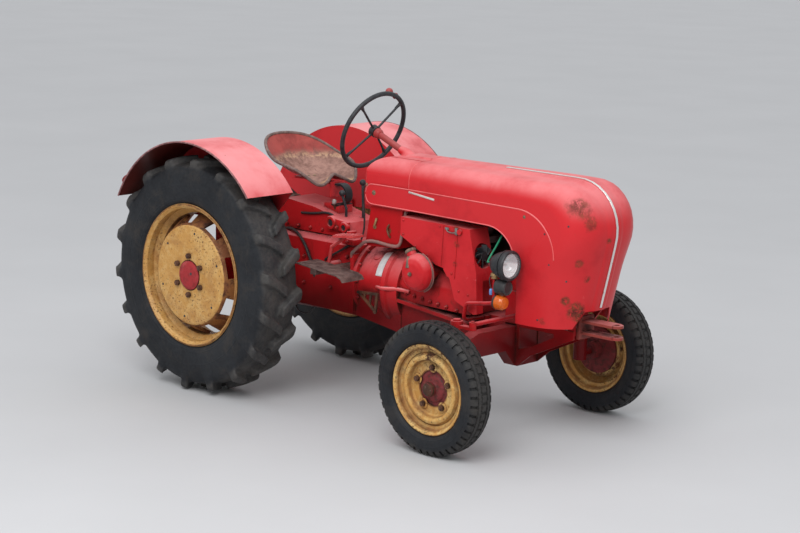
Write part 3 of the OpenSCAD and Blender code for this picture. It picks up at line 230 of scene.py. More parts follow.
def worn_red(name, bloom=0.6, chips=0.5, corner_shade_and_dirt=0.5, scuff=0.35, cast=False, under=0.0, shade_low_down=0.0,
             shine=0.24, grain=0.3, tint=RED, patches=()):
    """Old red paint: paler where the sky reaches it, chipped to rust at edges, with dirt and painted shade in
    corners, and painted shade on its underside and low down where asked.
    """
    f = Finish(name)
    broad = f.noise(3.1, 5.0, 0.6)
    fine = f.noise(31.0, 6.0, 0.65)
    colour = f.blend(DEEP_RED, tint, f.step(broad, 0.22, 0.5))
    sky = f.step(f.upward(), 0.12, 0.85)
    faded = sky * f.step(broad * (1 - grain) + fine * grain, 0.2, 0.64) * bloom
    colour = f.blend(colour, PINK, faded)
    # Painted shade: faces that look down turn a dark red.
    if under:
        colour = f.blend(colour, UNDERSIDE_SHADE_RED, f.step(f.upward(), -0.04, -0.25) * under)
    # Painted shade: darker red towards the bottom.
    if shade_low_down:
        low = f.step(f.part_of(f.where, "Z") + (broad - 0.5) * 0.15, 0.68, 0.44)
        colour = f.blend(colour, (0.075, 0.003, 0.004), low * shade_low_down)
    scuffs = f.spots(0.6, 0.7, 9.0, 9.0, 0.75, 1.6) * f.spots(0.48, 0.62, 2.3, 2.0) * scuff
    colour = f.blend(colour, PINK, scuffs)
    # Dirt and painted shade: near black in patches, in corners and under overhangs.
    shade_and_grime = f.shade_and_grime(0.07) * f.spots(0.25, 0.6, 14.0, 5.0, 0.7) * corner_shade_and_dirt
    colour = f.blend(colour, SHADE_DIRT_DARK, shade_and_grime)
    flecks = f.spots(0.69, 0.72, 47.0, 4.0, 0.6) * f.spots(0.52, 0.64, 4.3, 3.0)
    worn = f.edges(0.0045) * f.spots(0.42, 0.56, 26.0, 5.0, 0.7)
    bare = f.highest(flecks, worn) * chips
    for x, y, z, reach, share in patches:
        ragged = f.near(at(x, y, z)) + (f.noise(9.0, 6.0, 0.7) - 0.5) * reach * 2.4
        patch = f.step(ragged, reach * 1.15, reach * 0.5) * share
        bare = f.highest(bare, patch * f.spots(0.36, 0.52, 42.0, 7.0, 0.75, 0.6))
    colour = f.blend(colour, f.blend(DARK_RUST, RUST, f.step(fine, 0.35, 0.65)), bare)
    height = f.noise(5.0, 2.0) * 0.5 - bare * 0.35
    if cast:
        stain = f.spots(0.52, 0.66, 6.0, 8.0, 0.75, 1.2) * f.spots(0.35, 0.6, 27.0, 6.0, 0.7)
        colour = f.blend(colour, (0.15, 0.018, 0.014), stain * 0.6)
        height = height + f.noise(160.0, 3.0, 0.6) * 0.3
    return f.surface(colour, 0.34 + faded * 0.3 + bare * 0.45 + shade_and_grime * 0.3, (height, 0.35, 0.003),
                     shine=shine)


def rusty_ochre(name, centre, zones, pale=PALE_OCHRE, rust=0.5):
    """Ochre wheel paint, streaked and bitten by rust. Zones are (inner, outer, share) of heavier rust."""
    f = Finish(name)
    broad = f.noise(4.0, 6.0, 0.65)
    fine = f.noise(33.0, 7.0, 0.7)
    colour = f.blend(OCHRE, pale, f.step(fine * 0.5 + broad * 0.5, 0.42, 0.6))
    stain = f.spots(0.47, 0.66, 7.0, 7.0, 0.75, 0.8) * 0.5
    colour = f.blend(colour, (0.33, 0.14, 0.04), stain)
    away = f.from_axle(*centre) + (fine - 0.5) * 0.012
    rings = [f.step(away, inner - 0.002, inner + 0.003) * f.step(away, outer + 0.002, outer - 0.003) * share
             for inner, outer, share in zones]
    for ring in rings:
        colour = f.blend(colour, BROWN_OCHRE, ring * f.spots(0.2, 0.5, 9.0, 6.0, 0.7))
    speckle = f.spots(0.575, 0.64, 85.0, 3.0, 0.6) * f.step(broad, 0.32, 0.58)
    rusty = f.step(broad * 0.6 + fine * 0.4, 0.64 - 0.12 * rust, 0.69 - 0.1 * rust)
    rusty = f.highest(rusty, speckle * 0.8)
    rusty = f.highest(rusty, f.edges(0.006) * f.step(fine, 0.4, 0.55) * 0.9)
    rusty = f.highest(rusty, f.shade_and_grime(0.06) * f.spots(0.2, 0.65, 9.0, 6.0, 0.7) * 0.85)
    for ring in rings:
        rusty = f.highest(rusty, ring * f.spots(0.44, 0.56, 13.0, 7.0, 0.75))
    colour = f.blend(colour, f.blend(DARK_RUST, RUST, f.spots(0.35, 0.6, 21.0, 5.0)), rusty)
    height = f.noise(70.0, 4.0, 0.7) * 0.4 - rusty * 0.4
    return f.surface(colour, 0.5 + rusty * 0.36, (height, 0.5, 0.002), shine=0.35)


def hub_paint(name, centre, nuts_from, dull=0.3, red=(0.36, 0.02, 0.024), outside=0.0):
    """Red hub paint in the middle, and brown rusty nuts and flange around it."""
    f = Finish(name)
    fine = f.noise(42.0, 7.0, 0.7)
    broad = f.noise(11.0, 5.0, 0.6)
    red = f.blend(red, (0.46, 0.1, 0.1), f.step(broad, 0.45, 0.7) * (1.0 - dull))
    red = f.blend(red, DARK_RUST, f.step(fine, 0.48, 0.62) * dull)
    iron = f.blend(DARK_RUST, (0.17, 0.075, 0.04), f.step(fine, 0.35, 0.65))
    outer = f.step(f.math("ABSOLUTE", f.part_of(f.where, "Y")), outside - 0.001, outside + 0.001)
    colour = f.blend(red, iron, outer * f.step(f.from_axle(*centre), nuts_from, nuts_from + 0.004))
    # Painted shade: near black in the hub's corners.
    colour = f.blend(colour, SHADE_DIRT_DARK, f.shade_and_grime(0.03) * 0.7)
    return f.surface(colour, 0.5 + fine * 0.3, (fine, 0.4, 0.0012), shine=0.4)


def old_rubber(name, centre, tread_from, rings, dust=0.5, pale=1.0):
    """Blue-black walls with moulded rings, and a tread that is grey-brown with dust."""
    f = Finish(name)
    fine = f.noise(60.0, 6.0, 0.7)
    broad = f.noise(5.0, 5.0, 0.6)
    away = f.from_axle(*centre)
    wall = f.blend((0.008, 0.009, 0.012), (0.02, 0.022, 0.026), f.step(broad * 0.6 + fine * 0.4, 0.35, 0.65))
    greys = [[tone * pale for tone in grey] for grey in ((0.018, 0.018, 0.019), (0.042, 0.039, 0.037))]
    tread = f.blend(*greys, f.step(broad * 0.5 + fine * 0.5, 0.36, 0.62))
    colour = f.blend(wall, tread, f.step(away + (broad - 0.5) * 0.04, tread_from - 0.02, tread_from + 0.01))
    dusty = f.spots(0.47, 0.68, 7.0, 7.0, 0.75, 0.5) * dust
    colour = f.blend(colour, (0.075, 0.06, 0.048), dusty)
    height = fine * 0.35 + f.noise(210.0, 2.0) * 0.15
    for radius in rings:
        height = height + f.line(away, radius, 0.004) * 1.1
    return f.surface(colour, 0.62 + dusty * 0.25, (height, 0.5, 0.0018), shine=0.28)


def rusty_iron(name):
    """Bare iron gone brown."""
    f = Finish(name)
    fine = f.noise(45.0, 8.0, 0.75)
    broad = f.noise(8.0, 5.0, 0.6)
    colour = f.blend(DARK_RUST, RUST, f.step(broad, 0.38, 0.7))
    colour = f.blend(colour, (0.26, 0.17, 0.13), f.step(fine, 0.52, 0.68) * 0.6)
    return f.surface(colour, 0.62 + fine * 0.3, (fine + f.noise(150.0, 3.0) * 0.4, 0.6, 0.0015),
                     Metallic=0.25)


def seat_paint(name):
    """The pan: red outside and up the back, worn grey-brown in its bottom, yellowish on the front lobes."""
    f = Finish(name)
    fine = f.noise(36.0, 7.0, 0.7)
    broad = f.noise(7.0, 6.0, 0.65)
    ragged = (fine - 0.5) * 0.05 + (broad - 0.5) * 0.08
    height, ahead = f.part_of(f.where, "Z"), f.part_of(f.where, "X")
    brown = f.blend((0.17, 0.08, 0.06), (0.4, 0.22, 0.175), f.step(broad * 0.5 + fine * 0.5, 0.36, 0.62))
    red = f.blend((0.22, 0.02, 0.018), (0.42, 0.045, 0.038), f.step(broad, 0.3, 0.6))
    yellow = f.blend((0.4, 0.19, 0.075), (0.7, 0.48, 0.26), f.step(fine, 0.38, 0.62))
    top = f.blend(brown, red, f.step(height + ragged, 1.185, 1.225) * 0.85)
    band = f.line(height + ragged * 0.8, 1.19, 0.022) * f.step(fine, 0.42, 0.56)
    top = f.blend(top, yellow, band * 0.35)
    top = f.blend(top, yellow, f.step(ahead + ragged, at(0.335, 0, 0).x, at(0.385, 0, 0).x) * 0.85)
    bare = f.spots(0.6, 0.68, 24.0, 8.0, 0.75, 0.8) * 0.7
    top = f.blend(top, DARK_RUST, bare)
    colour = f.blend(red, top, f.step(f.upward(), -0.05, 0.12))
    return f.surface(colour, 0.5 + fine * 0.3, (fine * 0.6 - bare, 0.35, 0.002), shine=0.4)


def plain_paint(name, pale, deep, gloss=0.38, metal=0.0, wear=0.4, scale=38.0):
    """Paint or plastic in two close tones, scuffed on its edges."""
    f = Finish(name)
    fine = f.noise(scale, 6.0, 0.7)
    colour = f.blend(deep, pale, f.step(fine, 0.38, 0.68))
    worn = f.edges(0.003) * f.step(fine, 0.42, 0.58) * wear
    colour = f.blend(colour, BARE_GREY, worn)
    return f.surface(colour, gloss + fine * 0.25, (fine, 0.25, 0.001), Metallic=metal)


def dull_metal(name, tint=(0.27, 0.26, 0.25), rust=0.4):
    """Grey cast metal with darker oily patches and rust, and painted shade in its corners."""
    f = Finish(name)
    fine = f.noise(40.0, 6.0, 0.7)
    rusty = f.spots(0.5, 0.68, 9.0, 6.0, 0.7) * rust
    colour = f.blend(f.blend(tint, (0.12, 0.11, 0.1), f.step(fine, 0.4, 0.7)), RUST, rusty)
    # Painted shade: near black in corners.
    colour = f.blend(colour, SHADE_DIRT_DARK, f.shade_and_grime(0.04) * 0.8)
    return f.surface(colour, 0.5 + fine * 0.3, (fine, 0.4, 0.001), Metallic=0.6)


def dull_chrome(name, tint=(0.8, 0.79, 0.77), gloss=0.24):
    """Plated trim with fine scratches and specks."""
    f = Finish(name)
    fine = f.noise(90.0, 5.0, 0.7)
    specks = f.spots(0.66, 0.7, 75.0, 3.0)
    colour = f.blend(tint, (0.45, 0.36, 0.3), specks)
    return f.surface(colour, gloss + fine * 0.2, Metallic=0.85 - specks * 0.6)


def lens(name, tint, cover=1.0, clear=0.2):
    """Moulded lens with fine ribs. A low cover lets what is behind it show."""
    f = Finish(name)
    ribs = f.node("ShaderNodeTexWave", {"wave_type": "BANDS", "bands_direction": "Y"},
                  {"Vector": f.where, "Scale": 42.0, "Distortion": 0.3}, output="Fac")
    return f.surface(tint, 0.12 + ribs * 0.06, (ribs, 0.25, 0.001), Transmission_Weight=clear, IOR=1.45,
                     Alpha=cover + ribs * 0.06)


def seat_mount_paint(name):
    """Red bracket with a black leaf spring."""
    f = Finish(name)
    fine = f.noise(30.0, 6.0, 0.7)
    red = f.blend(DEEP_RED, RED, f.step(fine, 0.3, 0.6))
    red = f.blend(red, RUST, f.edges(0.004) * f.step(fine, 0.42, 0.56) * 0.6)
    spring = f.line(f.from_axle(0.425, 1.03), 0.053, 0.012)
    behind = f.step(f.part_of(f.where, "X"), at(0.395, 0, 0).x, at(0.3965, 0, 0).x)
    colour = f.blend(red, BLACK, f.step(spring * behind, 0.1, 0.2))
    # Painted shade: near black in corners.
    colour = f.blend(colour, SHADE_DIRT_DARK, f.shade_and_grime(0.05) * 0.6)
    return f.surface(colour, 0.42 + fine * 0.2, (fine, 0.3, 0.001), shine=0.4)


def reflector_paint(name):
    """Silvered bowl with a painted reflection: bright in its lower half, where it would mirror the ground,
    and grey above.
    """
    f = Finish(name)
    fine = f.noise(60.0, 4.0, 0.6)
    low = f.step(f.part_of(f.where, "Z") + f.part_of(f.where, "Y") * 0.1, 0.884, 0.868)
    colour = f.blend((0.46, 0.46, 0.47), (1.0, 1.0, 1.0), low)
    colour = f.blend(colour, (0.4, 0.38, 0.36), f.step(fine, 0.62, 0.78) * 0.4)
    return f.surface(colour, 0.22 + fine * 0.1, Metallic=0.15)


# Bare patches, as (x, y, z, reach, share)
HOOD_PATCHES = (
    (2.15, -0.185, 1.19, 0.06, 0.75), (2.205, -0.15, 1.12, 0.035, 0.6),
    (2.13, -0.14, 0.7, 0.05, 0.9), (2.1, -0.188, 0.745, 0.028, 0.9),
    (2.172, -0.123, 0.85, 0.02, 0.8), (2.166, -0.175, 0.929, 0.024, 0.7),
    (2.118, -0.1, 0.665, 0.035, 1.0), (2.236, -0.045, 1.031, 0.02, 0.9),
    (2.0, -0.238, 0.64, 0.022, 0.5))

red_sheet = worn_red("red_sheet", shine=0.16, bloom=0.5, chips=0.7, corner_shade_and_dirt=0.45, patches=(
    (0.957, -0.187, 0.925, 0.018, 1.0), (1.446, -0.228, 0.93, 0.022, 0.8),
    (1.442, -0.228, 0.83, 0.016, 0.8), (1.44, -0.228, 1.0, 0.02, 0.8)))
red_hood = worn_red("red_hood", bloom=0.6, grain=0.15, chips=0.5, corner_shade_and_dirt=0.15, scuff=0.1,
                    patches=HOOD_PATCHES)
red_fender = worn_red("red_fender", bloom=0.92, chips=0.8, corner_shade_and_dirt=0.5, under=1.0, grain=0.12)
red_console = worn_red("red_console", bloom=0.2, chips=0.8, corner_shade_and_dirt=0.5, shine=0.12, tint=(0.47, 0.01, 0.013),
                       patches=((0.957, -0.187, 0.925, 0.018, 1.0), (1.02, -0.193, 0.93, 0.012, 0.8)))
red_casting = worn_red("red_casting", bloom=0.5, chips=0.8, corner_shade_and_dirt=1.0, scuff=0.22, cast=True, shade_low_down=0.85,
                       shine=0.14, tint=(0.52, 0.015, 0.019))
red_rusty = worn_red("red_rusty", bloom=0.3, chips=1.0, corner_shade_and_dirt=1.0, cast=True, shine=0.12,
                     tint=(0.27, 0.055, 0.045))
column_red = worn_red("column_red", bloom=0.15, chips=0.8, corner_shade_and_dirt=0.3, tint=(0.33, 0.055, 0.05))
pink_pad = worn_red("pink_pad", bloom=0.9, chips=0.6, corner_shade_and_dirt=0.5, tint=(0.62, 0.07, 0.07))
ochre_rear = rusty_ochre("ochre_rear", REAR_AXLE, ((0.262, 0.322, 1.0), (0.364, 0.374, 0.7)))
ochre_front = rusty_ochre(
    "ochre_front", FRONT_AXLE, pale=CREAM, rust=0.85,
    zones=((0.084, 0.092, 0.8), (0.132, 0.14, 0.5), (0.188, 0.204, 0.45), (0.216, 0.226, 0.9)))
hub_rear = hub_paint("hub_rear", REAR_AXLE, 0.082)
hub_front = hub_paint("hub_front", FRONT_AXLE, 0.087, dull=0.75, red=(0.17, 0.016, 0.018),
                      outside=FRONT_Y + 0.002)
rubber_rear = old_rubber("rubber_rear", REAR_AXLE, 0.575, (0.392, 0.404, 0.47), dust=0.3, pale=1.6)
rubber_front = old_rubber("rubber_front", FRONT_AXLE, 0.3, (0.232, 0.24, 0.272), dust=0.2)
iron = rusty_iron("iron")
seat_skin = seat_paint("seat_skin")
seat_edge = plain_paint("seat_edge", (0.25, 0.16, 0.14), (0.115, 0.075, 0.066), gloss=0.5)
mount_red = seat_mount_paint("mount_red")
tread_plate = plain_paint("tread_plate", (0.17, 0.105, 0.09), (0.055, 0.028, 0.024), gloss=0.5, scale=22.0)
enamel = plain_paint("enamel", (0.04, 0.042, 0.047), BLACK)
reflector = reflector_paint("reflector")
lamp_shell = plain_paint("lamp_shell", (0.026, 0.028, 0.032), (0.01, 0.011, 0.014), gloss=0.38)
black_hose = plain_paint("black_hose", (0.05, 0.03, 0.026), BLACK, gloss=0.5)
grey_pipe = plain_paint("grey_pipe", (0.36, 0.12, 0.11), (0.2, 0.14, 0.12), gloss=0.45)
brown_cap = plain_paint("brown_cap", (0.3, 0.19, 0.13), (0.09, 0.055, 0.04), gloss=0.5)
brass = plain_paint("brass", (0.55, 0.36, 0.16), (0.26, 0.15, 0.07), gloss=0.35, metal=0.5)
blue_sleeve = plain_paint("blue_sleeve", (0.22, 0.42, 0.8), (0.12, 0.26, 0.6), wear=0.1)
# Near black that paints the shade in the engine bay.
bay_shade_black = plain_paint("bay_shade_black", (0.03, 0.01, 0.01), (0.012, 0.01, 0.011), gloss=0.6)
fender_roll = plain_paint("fender_roll", (0.42, 0.19, 0.19), (0.16, 0.06, 0.06), gloss=0.5)
knob_grey = plain_paint("knob_grey", (0.42, 0.38, 0.36), (0.2, 0.17, 0.16), gloss=0.4)
# A paler red that paints the highlight along the hood's rolled edges.
edge_highlight_pink = worn_red("edge_highlight_pink", bloom=0.6, chips=0.6, corner_shade_and_dirt=0.1, tint=(0.74, 0.115, 0.115))
blank_plate = plain_paint("blank_plate", (0.78, 0.78, 0.77), (0.62, 0.62, 0.62), gloss=0.35, wear=0.5)
engine_grey = dull_metal("engine_grey")
screw_metal = dull_metal("screw_metal", (0.36, 0.26, 0.16), rust=0.7)
chrome = dull_chrome("chrome")
trim_metal = dull_chrome("trim_metal", (0.88, 0.84, 0.8), gloss=0.4)
clear_lens = lens("clear_lens", (0.97, 0.97, 0.98), cover=0.1, clear=0.0)
orange_lens = lens("orange_lens", (0.8, 0.16, 0.02), clear=0.25)
red_lens = lens("red_lens", (0.22, 0.012, 0.012), clear=0.15)
green_sleeve = plain_paint("green_sleeve", (0.02, 0.3, 0.16), (0.01, 0.2, 0.1), wear=0.0, scale=20.0)
battery_black = plain_paint("battery_black", (0.045, 0.043, 0.042), (0.022, 0.022, 0.025), scale=20.0)

NODE_FINISH = {
    "hood": red_hood, "fuel_tank": red_hood, "console": red_console, "cooling_shroud": red_sheet,
    "filter_bowl": red_sheet, "hood_strip": chrome, "steering_wheel": enamel, "fan": enamel,
    "hand_levers": enamel, "headlamps": lamp_shell, "lamp_glasses": clear_lens, "indicators": orange_lens,
    "tail_lamps": red_lens, "lamp_lead": green_sleeve, "battery": battery_black, "cylinders": engine_grey,
    "exhaust": iron, "drawbar": iron, "pto_shaft": iron, "front_hitch": red_rusty,
    "spinner_knob": column_red, "steering_column": column_red, "seat_pan": seat_skin,
    "seat_mount": mount_red, "footrests": tread_plate, "pedals": pink_pad,
}
PAIR_FINISH = {
    "rear_tyre": rubber_rear, "rear_rim": ochre_rear, "rear_hub": hub_rear, "fender": red_fender,
    "front_tyre": rubber_front, "front_rim": ochre_front, "front_hub": hub_front,
}
for pair, finish in PAIR_FINISH.items():
    for side, _ in SIDES:
        NODE_FINISH[f"{pair}_{side}"] = finish


def add_modifier(node, name, kind, **settings):
    modifier = node.modifiers.new(name, kind)
    for key, value in settings.items():
        setattr(modifier, key, value)


def finish_node(name, node):
    """Gives a CAD node its material, softened edges and smooth curved faces."""
    node.data.materials.clear()
    node.data.materials.append(NODE_FINISH.get(name, red_casting))
    for face in node.data.polygons:
        face.use_smooth = True
    if name.startswith("rear_tyre"):
        add_modifier(node, "soften", "REMESH", mode="VOXEL", voxel_size=0.0072, use_smooth_shade=True)
        add_modifier(node, "even", "SMOOTH", factor=0.6, iterations=7)
        return
    add_modifier(node, "weld", "WELD", merge_threshold=0.00002)
    add_modifier(node, "edges", "BEVEL", width=0.0015, segments=2, limit_method="ANGLE",
                 angle_limit=math.radians(38))
    add_modifier(node, "shade", "WEIGHTED_NORMAL", keep_sharp=True)


for name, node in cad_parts.items():
    finish_node(name, node)


# Shapes


def facing(place, direction):
    """The matrix that stands a shape's Z axis along a direction at a place."""
    return Matrix.Translation(place) @ Vector(direction).to_track_quat("Z", "Y").to_matrix().to_4x4()


def along(start, end, up=(0.0, 0.0, 1.0)):
    """The matrix in the middle of two points, with X from one to the other and Z near up."""
    x = (end - start).normalized()
    y = Vector(up).cross(x).normalized()
    turn = Matrix((x, y, x.cross(y))).transposed().to_4x4()
    return Matrix.Translation((start + end) / 2) @ turn


def slid(x, y, z):
    return Matrix.Translation((x, y, z))


def stood(x, y, z, lean=0.0):
    """The matrix that stands a shape at a place, leaning forward by an angle."""
    return Matrix.Translation(at(x, y, z)) @ Matrix.Rotation(lean, 4, "Y")


def outward(x, y, z):
    """The matrix that stands a shape's Z axis straight out of the machine's side."""
    return facing(at(x, y, z), (0.0, math.copysign(1.0, y), 0.0))


class Shape:
    """A mesh in the making."""

    def __init__(self):
        self.bm = bmesh.new()

    def turned(self, outline, place=Matrix(), steps=32):
        """Spins an outline of (radius, height) points about its own Z axis."""
        verts = [self.bm.verts.new((radius, 0.0, height)) for radius, height in outline]
        edges = [self.bm.edges.new(pair) for pair in zip(verts, verts[1:])]
        old = set(self.bm.verts) - set(verts)
        bmesh.ops.spin(self.bm, geom=verts + edges, cent=(0, 0, 0), axis=(0, 0, 1), angle=math.tau,
                       steps=steps, use_merge=True)
        made = [vert for vert in self.bm.verts if vert not in old]
        bmesh.ops.transform(self.bm, matrix=place, verts=made)
        bmesh.ops.remove_doubles(self.bm, verts=made, dist=1e-6)
        return self

    def soften(self, verts, width, segments):
        edges = list({edge for vert in verts for edge in vert.link_edges})
        bmesh.ops.bevel(self.bm, geom=edges, offset=width, affect="EDGES", segments=segments, profile=0.5,
                        material=-1, clamp_overlap=True)
        return self

    def block(self, size, place=Matrix(), soft=0.001, segments=2):
        """A box with rounded edges."""
        made = bmesh.ops.create_cube(self.bm, size=1.0, matrix=place @ Matrix.Diagonal((*size, 1.0)))
        return self.soften(made["verts"], soft, segments)

    def nut(self, place, across=0.016, height=0.01, stud=0.006):
        """A hexagon nut with a rounded stud end."""
        made = bmesh.ops.create_cone(self.bm, cap_ends=True, segments=6, radius1=across / 2,
                                     radius2=across / 2, depth=height, matrix=place @ slid(0, 0, height / 2))
        self.soften(made["verts"], across * 0.07, 2)
        r = across * 0.28
        end = height + stud
        return self.turned([(r, 0.0), (r, height + stud * 0.6), (r * 0.6, end), (0.0, end)], place, steps=12)

    def screw(self, place, r=0.006):
        """A domed head of this radius on a washer."""
        return self.turned([(r * 1.5, -0.001), (r * 1.5, 0.0008), (r * 1.05, 0.0012), (r, r * 0.25),
                            (r * 0.7, r * 0.55), (r * 0.3, r * 0.66), (r * 0.22, r * 0.45), (0.0, r * 0.45)],
                           place, steps=16)

    def repeat(self, count):
        """Copies everything round the Z axis."""
        geom = self.bm.verts[:] + self.bm.edges[:] + self.bm.faces[:]
        bmesh.ops.spin(self.bm, geom=geom, cent=(0, 0, 0), axis=(0, 0, 1), steps=count - 1,
                       angle=math.tau * (count - 1) / count, use_duplicate=True)
        return self

    def moved(self, matrix):
        bmesh.ops.transform(self.bm, matrix=matrix, verts=self.bm.verts)
        return self

    def keep(self, name, finish, body="chassis", sharp=38.0):
        """Makes the mesh an object that rides on a body."""
        bmesh.ops.remove_doubles(self.bm, verts=self.bm.verts, dist=1e-6)
        bmesh.ops.recalc_face_normals(self.bm, faces=self.bm.faces)
        mesh = bpy.data.meshes.new(name)
        self.bm.to_mesh(mesh)
        self.bm.free()
        for face in mesh.polygons:
            face.use_smooth = True
        mesh.set_sharp_from_angle(angle=math.radians(sharp))
        return placed(name, mesh, finish, body)


def lathe(name, outline, place, finish, steps=32, body="chassis", sharp=38.0):
    """One turned piece."""
    return Shape().turned(outline, place, steps).keep(name, finish, body, sharp)


def placed(name, data, finish, body):
    """The object of a mesh or curve, in its finish and riding on its body."""
    data.materials.append(finish)
    piece = bpy.data.objects.new(name, data)
    bpy.context.scene.collection.objects.link(piece)
    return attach(piece, body)


def wire(name, paths, radius, finish, body="chassis", closed=False):
    """Round rods or cables along smooth paths, given from the rear axle."""
    curve = bpy.data.curves.new(name, "CURVE")
    curve.dimensions = "3D"
    curve.bevel_depth = radius
    curve.bevel_resolution = 3
    curve.use_fill_caps = not closed
    for path in paths:
        spline = curve.splines.new("NURBS")
        spline.points.add(len(path) - 1)
        for point, place in zip(spline.points, path):
            point.co = (*at(*place), 1.0)
        spline.order_u = 3
        spline.use_endpoint_u = not closed
        spline.use_cyclic_u = closed
        spline.resolution_u = 5
    return placed(name, curve, finish, body)


# Hood and tank

HOOD_TOP = 1.287
COLUMN_SLOPE = math.radians(22)
COLUMN_TOP_X = 0.657
COLUMN_TOP = at(COLUMN_TOP_X, 0.0, 1.386)
COLUMN_WAY = Vector((math.cos(COLUMN_SLOPE), 0.0, -math.sin(COLUMN_SLOPE)))


def on_column(x):
    """A point on the steering column's middle line."""
    return COLUMN_TOP + COLUMN_WAY * ((x - COLUMN_TOP_X) / COLUMN_WAY.x)


def hood_face(x):
    """Half width of the hood over its stamped band."""
    return 0.21 + 0.035 * min(1.0, max(0.0, (x - 1.1) / 0.74))


def make_tank_ridge():
    """The hood's ridge runs on over the tank and narrows to the steering column's boot."""
    shape = Shape()
    bmesh.ops.create_grid(shape.bm, x_segments=16, y_segments=16, size=1.0)
    for vert in shape.bm.verts:
        u, v = (vert.co.x + 1) / 2, vert.co.y
        half = 0.034 + 0.017 * smooth(u * 3)
        rise = 0.009 * smooth(u * 5) * smooth((1 - abs(v)) / 0.32)
        vert.co = at(0.888 + 0.2065 * u, half * v, HOOD_TOP - 0.0006 + rise)
    shape.keep("tank_ridge", red_hood, sharp=60)
    boot = Shape()
    rings = ((on_column(0.846), 0, 0.0205, 0.0205), (on_column(0.86), 0, 0.0235, 0.0235),
             (at(0.879, 0, 1.3015), 25, 0.027, 0.026), (at(0.893, 0, 1.2935), 45, 0.035, 0.031),
             (at(0.903, 0, 1.285), 62, 0.049, 0.038), (at(0.907, 0, 1.276), 68, 0.062, 0.046))
    loops = []
    for place, tip, long_r, wide_r in rings:
        way = Matrix.Rotation(math.radians(tip), 3, "Y") @ COLUMN_WAY
        made = bmesh.ops.create_circle(boot.bm, segments=32, radius=1.0)["verts"]
        across = Matrix((Vector((0, 1, 0)).cross(way), (0, 1, 0), way)).transposed().to_4x4()
        size = Matrix.Diagonal((long_r, wide_r, 1.0, 1.0))
        bmesh.ops.transform(boot.bm, matrix=Matrix.Translation(place) @ across @ size, verts=made)
        loops.append(list({edge for vert in made for edge in vert.link_edges}))
    for near, far in zip(loops, loops[1:]):
        bmesh.ops.bridge_loops(boot.bm, edges=near + far)
    boot.keep("column_boot", red_hood, sharp=70)


def make_hood_trim():
    for side, s in SIDES:
        start = at(1.106, s * (hood_face(1.106) + 0.001), 1.1425)
        end = at(1.287, s * (hood_face(1.287) + 0.001), 1.126)
        bar = Shape().block(((end - start).length, 0.005, 0.0105), along(start, end), soft=0.0022)
        bar.keep("trim_bar_" + side, trim_metal, "hood")
        heads = Shape()
        heads.screw(outward(0.864, s * 0.2096, 1.11), 0.0085)
        heads.screw(outward(1.884, s * 0.245, 1.121), 0.0055)
        heads.keep("band_screws_" + side, screw_metal, "hood")
        Shape().screw(facing(at(0.8, s * 0.1955, 1.143), (-0.38, s * 0.92, 0)), 0.006).keep(
            "tank_screw_" + side, screw_metal)


def make_band_edges():
    """The stamped band's upper edge, and the rolled edge along the hood's foot and arch, as rods in a paler
    red that paints their highlight.
    """
    rear_round = [swing(0.046, turn) for turn in (0, 20, 40, 60, 80)]
    for side, s in SIDES:
        upper = [(0.852 - back, s * 0.2092, 1.107 + rise) for back, rise in rear_round]
        upper += [(x, s * (hood_face(x) - 0.0012), 1.153) for x in (0.95, 1.1, 1.3, 1.5, 1.7, 1.84)]
        for turn in range(86, 14, -6):
            ahead, rise = swing(0.299 - 0.095 * (1 - turn / 90) ** 2 - 0.003, turn)
            lift = 0.005 * smooth((turn - 15) / 45)
            upper.append((1.84 + ahead, s * (0.239 + lift * 0.9), 0.857 + rise))
        wire("band_edge_" + side, [upper], 0.003, edge_highlight_pink, "hood")
        lower = [(0.852 - back, s * 0.2092, 1.096 - drop) for back, drop in rear_round]
        lower += [(x, s * (hood_face(x) - 0.001), 1.0505) for x in (0.95, 1.1, 1.3, 1.5, 1.62)]
        for turn in range(6, 91, 12):
            rise, ahead = swing(0.19, turn)
            lower.append((1.65 + ahead, s * (hood_face(1.65 + ahead) - 0.001), 0.8605 + rise))
        wire("foot_edge_" + side, [lower], 0.0032, edge_highlight_pink, "hood")
    wire("hood_rear_edge", [[(1.1005, y, z) for y, z in hood_section(0.205)]], 0.0022, edge_highlight_pink, "hood")


def hood_section(half_width):
    """The hood's outline over its top, from the left band to the right one."""
    half = [(0.0, HOOD_TOP + 0.009), (0.034, HOOD_TOP + 0.009), (0.05, HOOD_TOP), (0.085, HOOD_TOP - 0.001)]
    for i in range(8):
        up, out = swing(0.092, 90 * i / 7)
        half.append((half_width - 0.092 + out, HOOD_TOP - 0.094 + up))
    half.append((half_width, 1.158))
    return [(-y, z) for y, z in reversed(half[1:])] + half


def make_nose_holes():
    holes = (((2.01, 0.2445, 1.056), (0.02, 1.0, -0.02)), ((2.037, 0.2393, 0.914), (0.15, 0.98, -0.12)),
             ((2.112, 0.1985, 0.841), (0.66, 0.73, -0.17)), ((2.137, 0.2282, 1.107), (0.31, 0.95, 0.11)),
             ((1.975, 0.2345, 0.641), (0.1, 0.99, -0.02)))
    # Black discs on the nose paint the shade inside its holes.
    for side, s in SIDES:
        shape = Shape()
        for (x, y, z), (a, b, c) in holes:
            shape.turned([(0.0048, -0.001), (0.0046, 0.0006), (0.0034, 0.0008), (0.0, 0.0008)],
                         facing(at(x, s * y, z), (a, s * b, c)), steps=12)
        shape.keep("nose_holes_" + side, enamel, "hood")


# Steering and seat


